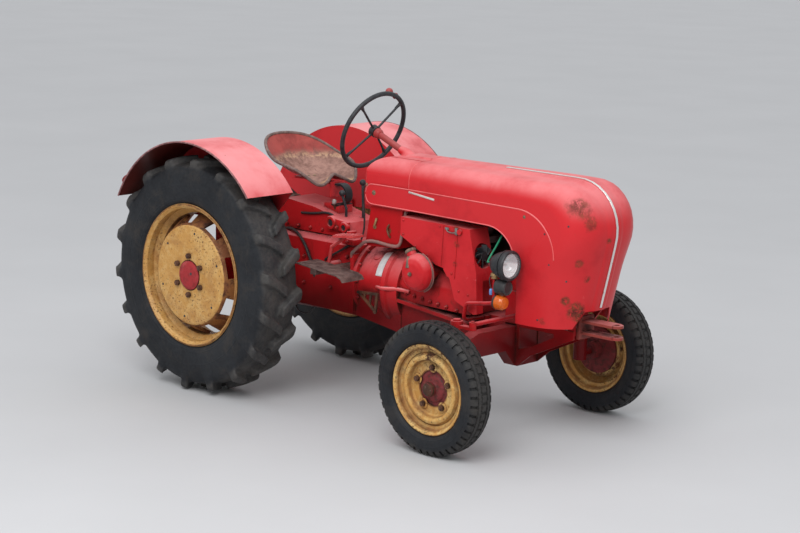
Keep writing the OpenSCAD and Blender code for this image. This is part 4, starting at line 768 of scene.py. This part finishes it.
def make_steering_details():
    cap = [(0.0245, -0.001), (0.0245, 0.003), (0.021, 0.007), (0.013, 0.0095), (0.009, 0.008), (0.0, 0.008)]
    lathe("steering_cap", cap, facing(COLUMN_TOP - COLUMN_WAY * 0.015, -COLUMN_WAY), engine_grey,
          body="steering_wheel")
    sleeve = [(0.0172, 0.0), (0.0255, 0.001), (0.027, 0.006), (0.026, 0.02), (0.0215, 0.03),
              (0.0172, 0.033)]
    lathe("column_sleeve", sleeve, facing(COLUMN_TOP + COLUMN_WAY * 0.0156, COLUMN_WAY), column_red)


def seat_rim_point(turn):
    """A point on the pan's edge, turned from its front notch."""
    off = min(turn, 360 - turn)
    ahead, aside = swing(1 - 0.28 * math.exp(-(off / 22.5) ** 2), turn)
    front = math.cos(math.radians(turn))
    lobes = 0.06 * math.exp(-((off - 32) / 20) ** 2)
    height = 1.136 + 0.119 * (1 - front) / 2 + 0.054 * smooth(-front) - lobes
    return 0.188 + 0.243 * ahead, 0.24 * aside, height - 0.003


def make_seat_edge():
    wire("seat_edge", [[seat_rim_point(turn) for turn in range(0, 360, 5)]], 0.0085, seat_edge, closed=True)
    shape = Shape()
    for x, y in ((0.15, 0.03), (0.15, -0.03), (0.195, 0.022), (0.195, -0.022)):
        shape.screw(facing(at(x, y, 1.1015), (0, 0, 1)), 0.007)
    shape.keep("seat_bolts", screw_metal)
    shape = Shape()
    shape.turned([(0.0, -0.014), (0.007, -0.013), (0.011, -0.008), (0.012, 0.0), (0.011, 0.008),
                  (0.007, 0.013), (0.0, 0.014)], stood(0.428, -0.058, 0.995), steps=20)
    shape.keep("height_knob", knob_grey)
    wire("height_lever", [[(0.425, -0.046, 0.955), (0.428, -0.055, 0.97), (0.428, -0.058, 0.982)]], 0.006,
         iron)


def make_fender_edges():
    arc = [swing(0.603, 38 + i * 116 / 30) for i in range(31)]
    for side, s in SIDES:
        wire("fender_edge_" + side, [[(0.025 + ahead, s * 0.7375, 0.715 + rise) for ahead, rise in arc]],
             0.0045, fender_roll)


# Wheels


def rear_wheel_place(s):
    return outward(0.0, s * REAR_Y, REAR_Z)


def front_wheel_place(s):
    return facing(at(WHEELBASE, s * FRONT_Y, FRONT_Z), (0, s * math.cos(CAMBER), -math.sin(CAMBER)))


def make_rear_wheel_details():
    for side, s in SIDES:
        # Black discs paint the shade inside the rim's holes and the hub's hole.
        holes = Shape()
        holes.turned([(0.0068, -0.002), (0.0064, 0.0004), (0.005, 0.0008), (0.0, 0.0008)],
                     slid(0.226, 0, 0.115), 14)
        holes.repeat(6).moved(rear_wheel_place(s) @ Matrix.Rotation(0.35, 4, "Z"))
        holes.keep("rim_holes_" + side, enamel, "rear_wheel_" + side)
        Shape().turned([(0.0075, -0.001), (0.007, 0.001), (0.0, 0.001)],
                       rear_wheel_place(s) @ slid(0.026, 0.012, 0.1288), 14).keep(
            "hub_hole_" + side, enamel, "rear_wheel_" + side)
        beads = Shape()
        beads.turned([(0.3755, 0.112), (0.379, 0.1155), (0.3835, 0.1165), (0.3885, 0.115),
                      (0.3915, 0.1205)], steps=96)
        beads.moved(rear_wheel_place(s)).keep("tyre_bead_" + side, rubber_rear, "rear_wheel_" + side, 60)


FRONT_TREAD = [
    (0.2038, 0.043), (0.2215, 0.0474), (0.224, 0.056), (0.2305, 0.0635), (0.242, 0.0672),
    (0.2547, 0.0685), (0.268, 0.0684), (0.2808, 0.0675), (0.2905, 0.0656), (0.2915, 0.0653),
    (0.3009, 0.062), (0.308, 0.0575), (0.313, 0.052), (0.3168, 0.0445), (0.3172, 0.0432),
    (0.312, 0.041), (0.312, 0.037), (0.3186, 0.0345), (0.3198, 0.0205), (0.312, 0.018),
    (0.312, 0.014), (0.3204, 0.0115)]
TREAD_PITCHES = 44


def make_front_tyres():
    """One pitch of tread with shoulder notches and zigzag grooves, repeated round the wheel."""
    pitch = math.tau / TREAD_PITCHES
    outline = FRONT_TREAD + [(0.3204, 0.0)] + [(r, -h) for r, h in reversed(FRONT_TREAD)]
    for side, s in SIDES:
        shape = Shape()
        verts = [shape.bm.verts.new((radius, 0.0, height)) for radius, height in outline]
        edges = [shape.bm.edges.new(pair) for pair in zip(verts, verts[1:])]
        bmesh.ops.spin(shape.bm, geom=verts + edges, cent=(0, 0, 0), axis=(0, 0, 1), angle=pitch, steps=10)
        for vert in shape.bm.verts:
            radius = math.hypot(vert.co.x, vert.co.y)
            share = (math.atan2(vert.co.y, vert.co.x) / pitch) % 1.0
            sideways = abs(vert.co.z)
            zigzag = abs(share - 0.5) * 2 - 0.5
            turn, sink, inset = 0.0, 0.0, 0.0
            if 0.012 < sideways < 0.042 and radius > 0.31:
                vert.co.z += math.copysign(0.007 * zigzag, vert.co.z)
            elif 0.044 < sideways < 0.0655 and radius > 0.291:
                if 0.25 < share < 0.65:
                    sink, inset = 0.0095, 0.0045
                turn = 0.08 if 0.15 < share < 0.25 else -0.08 if 0.65 < share < 0.75 else 0.0
            elif sideways < 0.012 and 0.55 < share < 0.85:
                sink = 0.009
            flat = Matrix.Rotation(turn * pitch, 3, "Z") @ Vector((vert.co.x, vert.co.y, 0.0))
            flat *= (radius - sink) / radius
            vert.co = (flat.x, flat.y, vert.co.z - math.copysign(inset, vert.co.z))
        shape.repeat(TREAD_PITCHES).moved(front_wheel_place(s))
        piece = shape.keep("front_tyre_tread_" + side, rubber_front, "front_wheel_" + side, 32)
        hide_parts("front_tyre_" + side)


def make_front_wheel_details():
    for side, s in SIDES:
        tabs = Shape()
        tabs.turned([(0.0145, 0.0), (0.024, 0.0), (0.026, 0.0012), (0.026, 0.003), (0.024, 0.0042),
                     (0.0145, 0.0042)], slid(0.1025, 0, 0.0036), 20)
        tabs.repeat(5).moved(front_wheel_place(s) @ Matrix.Rotation(math.radians(90), 4, "Z"))
        tabs.keep("nut_tabs_" + side, ochre_front, "front_wheel_" + side)
        cap = [(0.0325, 0.03), (0.0345, 0.032), (0.0345, 0.04), (0.03, 0.0465), (0.018, 0.0505),
               (0.0, 0.0515)]
        lathe("dust_cap_" + side, cap, front_wheel_place(s), iron, 28, "front_wheel_" + side)


# Lamps


def make_lamp_details():
    for side, s in SIDES:
        lamp = facing(at(1.895, s * 0.34, 0.9), FORWARD)
        bowl = [(0.0545, -0.0088), (0.052, -0.022), (0.0455, -0.038), (0.034, -0.051), (0.02, -0.059),
                (0.0, -0.0625)]
        lathe("lamp_reflector_" + side, bowl, lamp, reflector, 40, sharp=80)
        bulb = [(0.0, -0.026), (0.005, -0.028), (0.0075, -0.034), (0.0065, -0.042), (0.005, -0.048),
                (0.005, -0.061)]
        lathe("lamp_bulb_" + side, bulb, lamp, blank_plate, 16, sharp=60)
        rings = Shape()
        rings.turned([(0.06, 0.0002), (0.0635, 0.003), (0.0685, 0.0022), (0.0722, -0.002),
                      (0.0734, -0.0065), (0.0728, -0.011)], lamp, 48)
        rings.turned([(0.066, -0.028), (0.0712, -0.03), (0.0712, -0.0345), (0.064, -0.04)], lamp, 48)
        rings.keep("lamp_rings_" + side, lamp_shell)
        joint = [(0.01, -0.002), (0.015, 0.0), (0.016, 0.002), (0.016, 0.01), (0.0205, 0.013),
                 (0.021, 0.02), (0.0185, 0.026), (0.012, 0.029)]
        lathe("lamp_joint_" + side, joint, stood(1.795, s * 0.34, 0.826), brass, 12)
        horn = [(0.0, 0.0), (0.022, 0.0), (0.033, 0.006), (0.037, 0.014), (0.037, 0.062), (0.034, 0.07),
                (0.028, 0.073), (0.026, 0.07), (0.01, 0.068), (0.0, 0.07)]
        lathe("horn_" + side, horn, facing(at(1.8045, s * 0.335, 0.7905), FORWARD), battery_black)
        ring = [(0.028, -0.0006), (0.0325, 0.0004), (0.0365, 0.006), (0.038, 0.01), (0.0372, 0.015)]
        lathe("indicator_ring_" + side, ring, facing(at(1.8053, s * 0.34, 0.717), FORWARD), battery_black)
        sleeve = [(0.0, -0.016), (0.006, -0.015), (0.0082, -0.01), (0.0082, 0.008), (0.006, 0.013),
                  (0.0025, 0.015)]
        lathe("lamp_connector_" + side, sleeve, stood(1.7785, s * 0.3455, 0.762), blue_sleeve, 16)
        wire("lamp_wire_" + side, [[(1.7785, s * 0.3455, 0.772), (1.776, s * 0.352, 0.8),
                                    (1.77, s * 0.35, 0.83), (1.784, s * 0.343, 0.858)]], 0.0025,
             battery_black)


# Engine


def make_bowl_details():
    neck = Vector((-0.5299, 0.0, 0.848))
    seat = at(1.22, -0.2443, 0.76)
    cap = Shape()
    cap.turned([(0.0242, 0.0), (0.0262, 0.001), (0.0262, 0.013), (0.0235, 0.0165), (0.012, 0.018),
                (0.0, 0.018)], steps=36)
    for i in range(18):
        turn = Matrix.Rotation(i * math.tau / 18, 4, "Z")
        cap.block((0.003, 0.004, 0.012), turn @ slid(0.0268, 0, 0.0065), soft=0.0008, segments=1)
    cap.moved(facing(seat + neck * 0.1085, neck)).keep("bowl_cap", brown_cap)
    band = [(0.0938, -0.006), (0.0958, -0.004), (0.0958, 0.004), (0.0938, 0.006)]
    lathe("bowl_band", band, outward(1.22, -0.2475, 0.76), grey_pipe, 64)
    bail = []
    for turn in range(-70, 86, 12):
        ahead, rise = swing(0.101, turn)
        bail.append((1.22 + ahead, -0.2475 - 0.006 * math.sin(2 * math.radians(turn)), 0.76 + rise))
    wire("bowl_bail", [bail], 0.0026, grey_pipe)
    strap = Shape()
    strap.block((0.016, 0.005, 0.06), facing(at(1.19, -0.296, 0.812), (-0.25, 0.42, 0.87)), soft=0.0015)
    strap.nut(outward(1.2165, -0.3047, 0.757), 0.022, 0.01, 0.006)
    strap.keep("bowl_clamp", brown_cap)


def make_shroud_details():
    seams = Shape()
    seams.block((0.005, 0.0035, 0.205), stood(1.349, -0.2225, 0.909, 0.045), soft=0.001)
    seams.block((0.006, 0.0045, 0.245), stood(1.4455, -0.229, 0.88, 0.055), soft=0.0012)
    seams.keep("shroud_seams", red_sheet)
    latch = Shape()
    latch.block((0.024, 0.01, 0.012), stood(1.384, -0.227, 0.998), soft=0.002)
    latch.block((0.016, 0.012, 0.034), stood(1.45, -0.232, 0.992), soft=0.002)
    latch.screw(outward(1.384, -0.232, 0.998), 0.0045)
    latch.screw(outward(1.45, -0.238, 0.983), 0.0045)
    latch.keep("shroud_latch", engine_grey)
    wire("latch_wire", [[(1.384, -0.232, 0.994), (1.388, -0.2345, 0.984), (1.44, -0.236, 0.981),
                         (1.45, -0.238, 0.992)]], 0.0026, engine_grey)
    heads = Shape()
    for x, y, z in ((1.085, 0.222, 1.0), (1.085, 0.222, 0.93), (1.17, 0.222, 0.88), (1.25, 0.222, 0.845),
                    (1.33, 0.222, 1.0), (1.47, 0.228, 0.7), (1.53, 0.228, 0.69), (1.42, 0.228, 0.78)):
        heads.screw(outward(x, -y, z), 0.0052)
    heads.keep("shroud_screws", red_casting)


def make_bay_screen():
    """The pressed sheet that closes the engine's left side under the hood, with a black lining on its inside
    that paints the shade in the engine bay.
    """
    lining, sheet = Shape(), Shape()
    lining.block((0.452, 0.002, 0.262), stood(1.322, 0.1125, 0.943), soft=0.0008, segments=1)
    lining.keep("bay_shade_lining", bay_shade_black)
    sheet.block((0.46, 0.003, 0.27), stood(1.322, 0.115, 0.943), soft=0.0012, segments=2)
    for x in (1.17, 1.322, 1.474):
        sheet.block((0.11, 0.006, 0.2), stood(x, 0.1175, 0.943), soft=0.0025)
    for x in (1.108, 1.246, 1.398, 1.536):
        for z in (0.822, 1.064):
            sheet.screw(outward(x, 0.1166, z))
    sheet.keep("bay_sheet", red_sheet)


# The clutch housing: its rear face, its middle line, and its outline as (distance ahead, radius)
BELL_REAR = 0.71
BELL_MIDDLE = 0.62
BELL = ((0.0, 0.205), (0.022, 0.205), (0.026, 0.186), (0.12, 0.19), (0.21, 0.212), (0.224, 0.226),
        (0.25, 0.226))


def on_bell(x, turn, lift=0.0):
    """A point on the clutch housing, turned down from its top towards the right side."""
    ahead = x - BELL_REAR
    for (x0, r0), (x1, r1) in zip(BELL, BELL[1:]):
        if x0 <= ahead <= x1:
            radius = r0 + (r1 - r0) * (ahead - x0) / (x1 - x0) + lift
    up, aside = swing(radius, turn)
    return at(x, -aside, BELL_MIDDLE + up)


def bell_way(turn):
    up, aside = swing(1.0, turn)
    return (-0.1, -aside, up)


def make_bell_details():
    plate = Shape()
    bmesh.ops.create_grid(plate.bm, x_segments=6, y_segments=14, size=1.0)
    for vert in plate.bm.verts:
        u, v = (vert.co.x + 1) / 2, (1 - vert.co.y) / 2
        vert.co = on_bell(0.858 + 0.007 * v + 0.055 * u, 31 + 40 * v, 0.0012)
    bmesh.ops.solidify(plate.bm, geom=plate.bm.faces[:], thickness=0.0014)
    plate.keep("blank_plate", blank_plate, sharp=30)
    boss = Shape()
    boss.turned([(0.031, -0.008), (0.031, 0.0015), (0.029, 0.0028), (0.0, 0.0028)],
                facing(on_bell(0.815, 37), bell_way(37)), 32)
    for i in range(14):
        up, aside = swing(0.1955, i * 360 / 14 + 8)
        boss.nut(facing(at(0.7305, -aside, BELL_MIDDLE + up), FORWARD), 0.017, 0.009, 0.005)
    boss.keep("bell_boss_and_bolts", red_casting)
    frame_bars = Shape()
    corners = [at(0.775, -0.213, 0.588), at(0.922, -0.232, 0.6), at(0.912, -0.232, 0.508)]
    for a, b in zip(corners, corners[1:] + corners[:1]):
        frame_bars.block(((b - a).length + 0.01, 0.014, 0.013), along(a, b, (0.12, -1.0, 0.0)), soft=0.003)
    for share in (0.34, 0.66):
        a = corners[0].lerp(corners[1], share)
        b = corners[0].lerp(corners[2], share)
        frame_bars.block(((b - a).length, 0.012, 0.01), along(a, b, (0.12, -1.0, 0.0)), soft=0.002)
    frame_bars.nut(facing(corners[0], RIGHTWARD), 0.018, 0.01, 0.005)
    frame_bars.nut(facing(corners[2], RIGHTWARD), 0.018, 0.01, 0.005)
    frame_bars.keep("lattice_bracket", iron)
    wire("housing_flange", [[(0.88, -0.192, 0.629), (0.93, -0.222, 0.632), (0.972, -0.224, 0.636),
                             (1.04, -0.19, 0.64), (1.1, -0.182, 0.632)]], 0.01, pink_pad)


def make_housing_bolts():
    """Nuts along the crankcase's flange, the gearbox's top edge and its sides."""
    # Distance from the middle, width, height and stud of a row's nuts, and their places
    rows = (
        (0.1795, 0.02, 0.01, 0.007, ((1.08, 0.625), (1.133, 0.618), (1.187, 0.612), (1.241, 0.606),
                                       (1.295, 0.602), (1.351, 0.597), (1.42, 0.59))),
        (0.112, 0.018, 0.009, 0.004, [(-0.05 + 0.09 * i, 0.85) for i in range(6)]),
        (0.145, 0.02, 0.01, 0.006, ((0.3, 0.7), (0.3, 0.56), (0.5, 0.56), (0.62, 0.62),
                                      (0.62, 0.74), (0.1, 0.66))))
    shape = Shape()
    for y, across, height, stud, places in rows:
        for x, z in places:
            shape.nut(outward(x, -y, z), across, height, stud)
            shape.nut(outward(x, y, z), across, height, stud)
    shape.keep("housing_bolts", red_casting)


# Back of the gearbox


def make_rear_cover():
    """The bolted cover round the power take-off, with the filler cap above it."""
    shape = Shape()
    shape.block((0.236, 0.258, 0.012), facing(at(-0.193, 0.0, 0.64), BACKWARD), soft=0.0045, segments=3)
    shape.block((0.15, 0.05, 0.01), facing(at(-0.19, 0.0, 0.744), BACKWARD), soft=0.004)
    nuts = [(y, z) for y in (-0.104, -0.035, 0.035, 0.104) for z in (0.756, 0.526)]
    nuts += [(y, z) for y in (-0.106, 0.106) for z in (0.7, 0.64, 0.58)]
    for y, z in nuts:
        shape.nut(facing(at(-0.199, y, z), BACKWARD), 0.019, 0.009, 0.006)
    for i in range(6):
        aside, rise = swing(0.047, 30 + 60 * i)
        shape.nut(facing(at(-0.21, aside, 0.62 + rise), BACKWARD), 0.013, 0.006, 0.004)
    shape.keep("rear_cover", red_casting)
    slope = facing(at(0.02, 0.05, 0.955), (-0.308, 0.0, 0.951))
    cap = [(0.027, 0.0), (0.029, 0.002), (0.029, 0.014), (0.025, 0.018), (0.012, 0.02), (0.011, 0.028),
           (0.0, 0.029)]
    lathe("filler_cap", cap, slope, brown_cap, 24)


def make_axle_bolts():
    """Nuts round the axle housings' inner flanges, and behind the fender plates."""
    shape = Shape()
    for s in (-1, 1):
        for i in range(8):
            ahead, rise = swing(0.127, 22.5 + 45 * i)
            shape.nut(outward(ahead, s * 0.1845, REAR_Z + rise), 0.02, 0.016, 0.006)
        for x, z in ((-0.066, 0.8), (-0.066, 0.885), (0.066, 0.8), (0.066, 0.885)):
            shape.nut(facing(at(x, s * 0.413, z), (0, -s, 0)), 0.02, 0.009, 0.006)
    shape.keep("axle_bolts", red_casting)


# Gearbox and controls


def make_bracket():
    """The cast bracket with two holes on the gearbox's shoulder, and the box over the pedal."""
    plate, hole_shade = Shape(), Shape()
    plate.block((0.15, 0.022, 0.06), stood(0.53, -0.123, 0.894, 0.1), soft=0.006, segments=3)
    for x, z, rim, lip, hole in ((0.485, 0.9, 0.036, 0.02, 0.017), (0.583, 0.886, 0.03, 0.016, 0.014)):
        boss = outward(x, -0.134, z)
        plate.turned([(rim, -0.012), (rim, 0.004), (rim - 0.004, 0.01), (lip, 0.011), (hole, 0.004),
                      (0.0, 0.004)], boss, 28)
        # A black plug in each hole paints the shade inside it.
        hole_shade.turned([(hole - 0.0005, 0.0), (hole - 0.0005, 0.0046), (0.0, 0.0046)], boss, 20)
    plate.block((0.09, 0.06, 0.03), stood(0.655, -0.15, 0.826), soft=0.004)
    plate.block((0.03, 0.05, 0.05), stood(0.64, -0.138, 0.852), soft=0.005)
    plate.nut(outward(0.53, -0.134, 0.88), 0.02, 0.01, 0.006)
    plate.nut(outward(0.655, -0.18, 0.826), 0.018, 0.01, 0.006)
    plate.keep("shift_bracket", red_casting)
    hole_shade.keep("bracket_holes", enamel)


def make_controls():
    wire("shift_rods", [
        [(0.452, -0.142, 0.7), (0.465, -0.158, 0.706), (0.615, -0.164, 0.786), (0.655, -0.15, 0.815)],
        [(0.47, -0.108, 0.935), (0.44, -0.118, 0.95), (0.33, -0.118, 0.925), (0.24, -0.114, 0.92)]],
        0.006, black_hose)
    wire("side_hose", [[(0.125, -0.112, 0.822), (0.17, -0.128, 0.832), (0.24, -0.14, 0.818),
                        (0.307, -0.154, 0.77), (0.35, -0.156, 0.7), (0.372, -0.148, 0.64),
                        (0.375, -0.142, 0.6)]], 0.0075, black_hose)
    wire("under_loop", [[(0.205, -0.11, 0.444), (0.212, -0.122, 0.412), (0.25, -0.13, 0.388),
                         (0.31, -0.13, 0.386), (0.345, -0.124, 0.408), (0.352, -0.112, 0.44)]], 0.004,
         battery_black)
    wire("console_pipe", [[(0.69, -0.182, 0.752), (0.692, -0.19, 0.768), (0.706, -0.196, 0.782),
                           (0.763, -0.197, 0.826), (0.8, -0.198, 0.853), (0.86, -0.197, 0.862),
                           (0.96, -0.198, 0.853), (1.02, -0.197, 0.853), (1.042, -0.194, 0.872),
                           (1.046, -0.19, 0.92), (1.05, -0.178, 0.985), (1.052, -0.168, 1.043)]], 0.0085,
         grey_pipe)
    wire("throttle_cable", [[(0.782, -0.12, 1.12), (0.74, -0.12, 1.135), (0.7, -0.12, 1.11),
                             (0.704, -0.12, 1.04), (0.716, -0.122, 0.95), (0.716, -0.124, 0.88),
                             (0.69, -0.124, 0.822)]], 0.0048, black_hose)
    lever = Shape()
    lever.block((0.011, 0.009, 0.052), stood(0.862, -0.1925, 0.955, 0.35), soft=0.003)
    lever.turned([(0.011, 0.0), (0.011, 0.003), (0.008, 0.005), (0.0, 0.005)],
                 outward(0.854, -0.1868, 0.932), 16)
    lever.keep("console_lever", brass)
    wire("console_hook", [[(0.954, -0.186, 0.956), (0.952, -0.195, 0.948), (0.948, -0.196, 0.928),
                           (0.958, -0.1965, 0.91), (0.962, -0.193, 0.898), (0.962, -0.186, 0.892)]], 0.005,
         iron)
    ribs, grips = Shape(), Shape()
    for s in (-1, 1):
        for i in range(6):
            x = 0.668 + i * 0.0225
            place = stood(x, s * 0.25, 0.8815 + (x - 0.725) * 0.105, math.radians(-6))
            ribs.block((0.008, 0.064, 0.006), place, soft=0.002)
        for i in range(9):
            x = 0.548 + i * 0.032
            place = stood(x, s * 0.3525, 0.7305 - (x - 0.53) * 0.0881)
            grips.block((0.007, 0.138, 0.005), place, soft=0.0016)
    ribs.keep("pedal_ribs", pink_pad)
    grips.keep("footrest_grips", tread_plate)


make_tank_ridge()
make_hood_trim()
make_band_edges()
make_nose_holes()
make_bay_screen()
make_steering_details()
make_seat_edge()
make_fender_edges()
make_rear_wheel_details()
make_front_tyres()
make_front_wheel_details()
make_lamp_details()
make_bowl_details()
make_shroud_details()
make_bell_details()
make_housing_bolts()
make_rear_cover()
make_axle_bolts()
make_bracket()
make_controls()


# Floor, camera and light


def make_floor():
    bpy.ops.mesh.primitive_plane_add(size=400)
    floor = bpy.context.object
    floor.name = "floor"
    f = Finish("pale_floor")
    tone = f.noise(0.8, 4.0)
    colour = f.blend((0.5, 0.5, 0.51), (0.56, 0.56, 0.57), tone)
    floor.data.materials.append(f.surface(colour, 0.7))


# The camera stands where the wheels' ellipses in the photo put it. Its focal length is in pixels.
FOCAL_LENGTH = 2051.5
PHOTO_WIDTH = 800.0
SENSOR_WIDTH = 36.0


def make_camera():
    eye = at(7.9876, -7.5146, 2.6677)
    yaw, pitch, roll = math.radians(133.498), math.radians(-10.726), math.radians(1.2107)
    forward = Vector((math.cos(pitch) * math.cos(yaw), math.cos(pitch) * math.sin(yaw), math.sin(pitch)))
    level = Vector((math.sin(yaw), -math.cos(yaw), 0.0))
    above = level.cross(forward)
    across = level * math.cos(roll) + above * math.sin(roll)
    up = above * math.cos(roll) - level * math.sin(roll)
    camera = bpy.data.objects.new("camera", bpy.data.cameras.new("camera"))
    turn = Matrix((across, up, -forward)).transposed()
    camera.matrix_world = Matrix.Translation(eye) @ turn.to_4x4()
    camera.data.sensor_width = SENSOR_WIDTH
    camera.data.lens = SENSOR_WIDTH * FOCAL_LENGTH / PHOTO_WIDTH
    bpy.context.scene.collection.objects.link(camera)
    bpy.context.scene.camera = camera


def add_area(name, place, target, size, power):
    lamp = bpy.data.lights.new(name, "AREA")
    lamp.energy = power
    lamp.shape = "DISK"
    lamp.size = size
    holder = bpy.data.objects.new(name, lamp)
    holder.location = place
    holder.rotation_euler = (Vector(target) - Vector(place)).to_track_quat("-Z", "Y").to_euler()
    bpy.context.scene.collection.objects.link(holder)


def make_light():
    """An overcast sky: bright above, dimmer towards the horizon, white where the camera sees it."""
    world = bpy.data.worlds.new("sky")
    bpy.context.scene.world = world
    world.use_nodes = True
    sky = Nodes(world.node_tree)
    height = sky.part_of(sky.node("ShaderNodeTexCoord", output="Generated"), "Z")
    stops = ((0.0, (0.5, 0.52, 0.52)), (0.75, (1.15, 1.17, 1.2)))
    tone = sky.node("ShaderNodeValToRGB", {"stops": stops}, {0: height})
    lit = sky.node("ShaderNodeBackground", inputs={"Color": tone, "Strength": 0.85})
    seen = sky.node("ShaderNodeBackground", inputs={"Color": (0.93, 0.94, 0.95)})
    direct = sky.node("ShaderNodeLightPath", output="Is Camera Ray")
    mix = sky.node("ShaderNodeMixShader", inputs={0: direct, 1: lit, 2: seen})
    sky.node("ShaderNodeOutputWorld", inputs={"Surface": mix}, output=None)
    add_area("key", (3.0, -5.0, 6.0), (0.2, 0.0, 0.6), 5.0, 330.0)


bpy.context.scene.view_settings.view_transform = "Standard"
make_floor()
make_camera()
make_light()
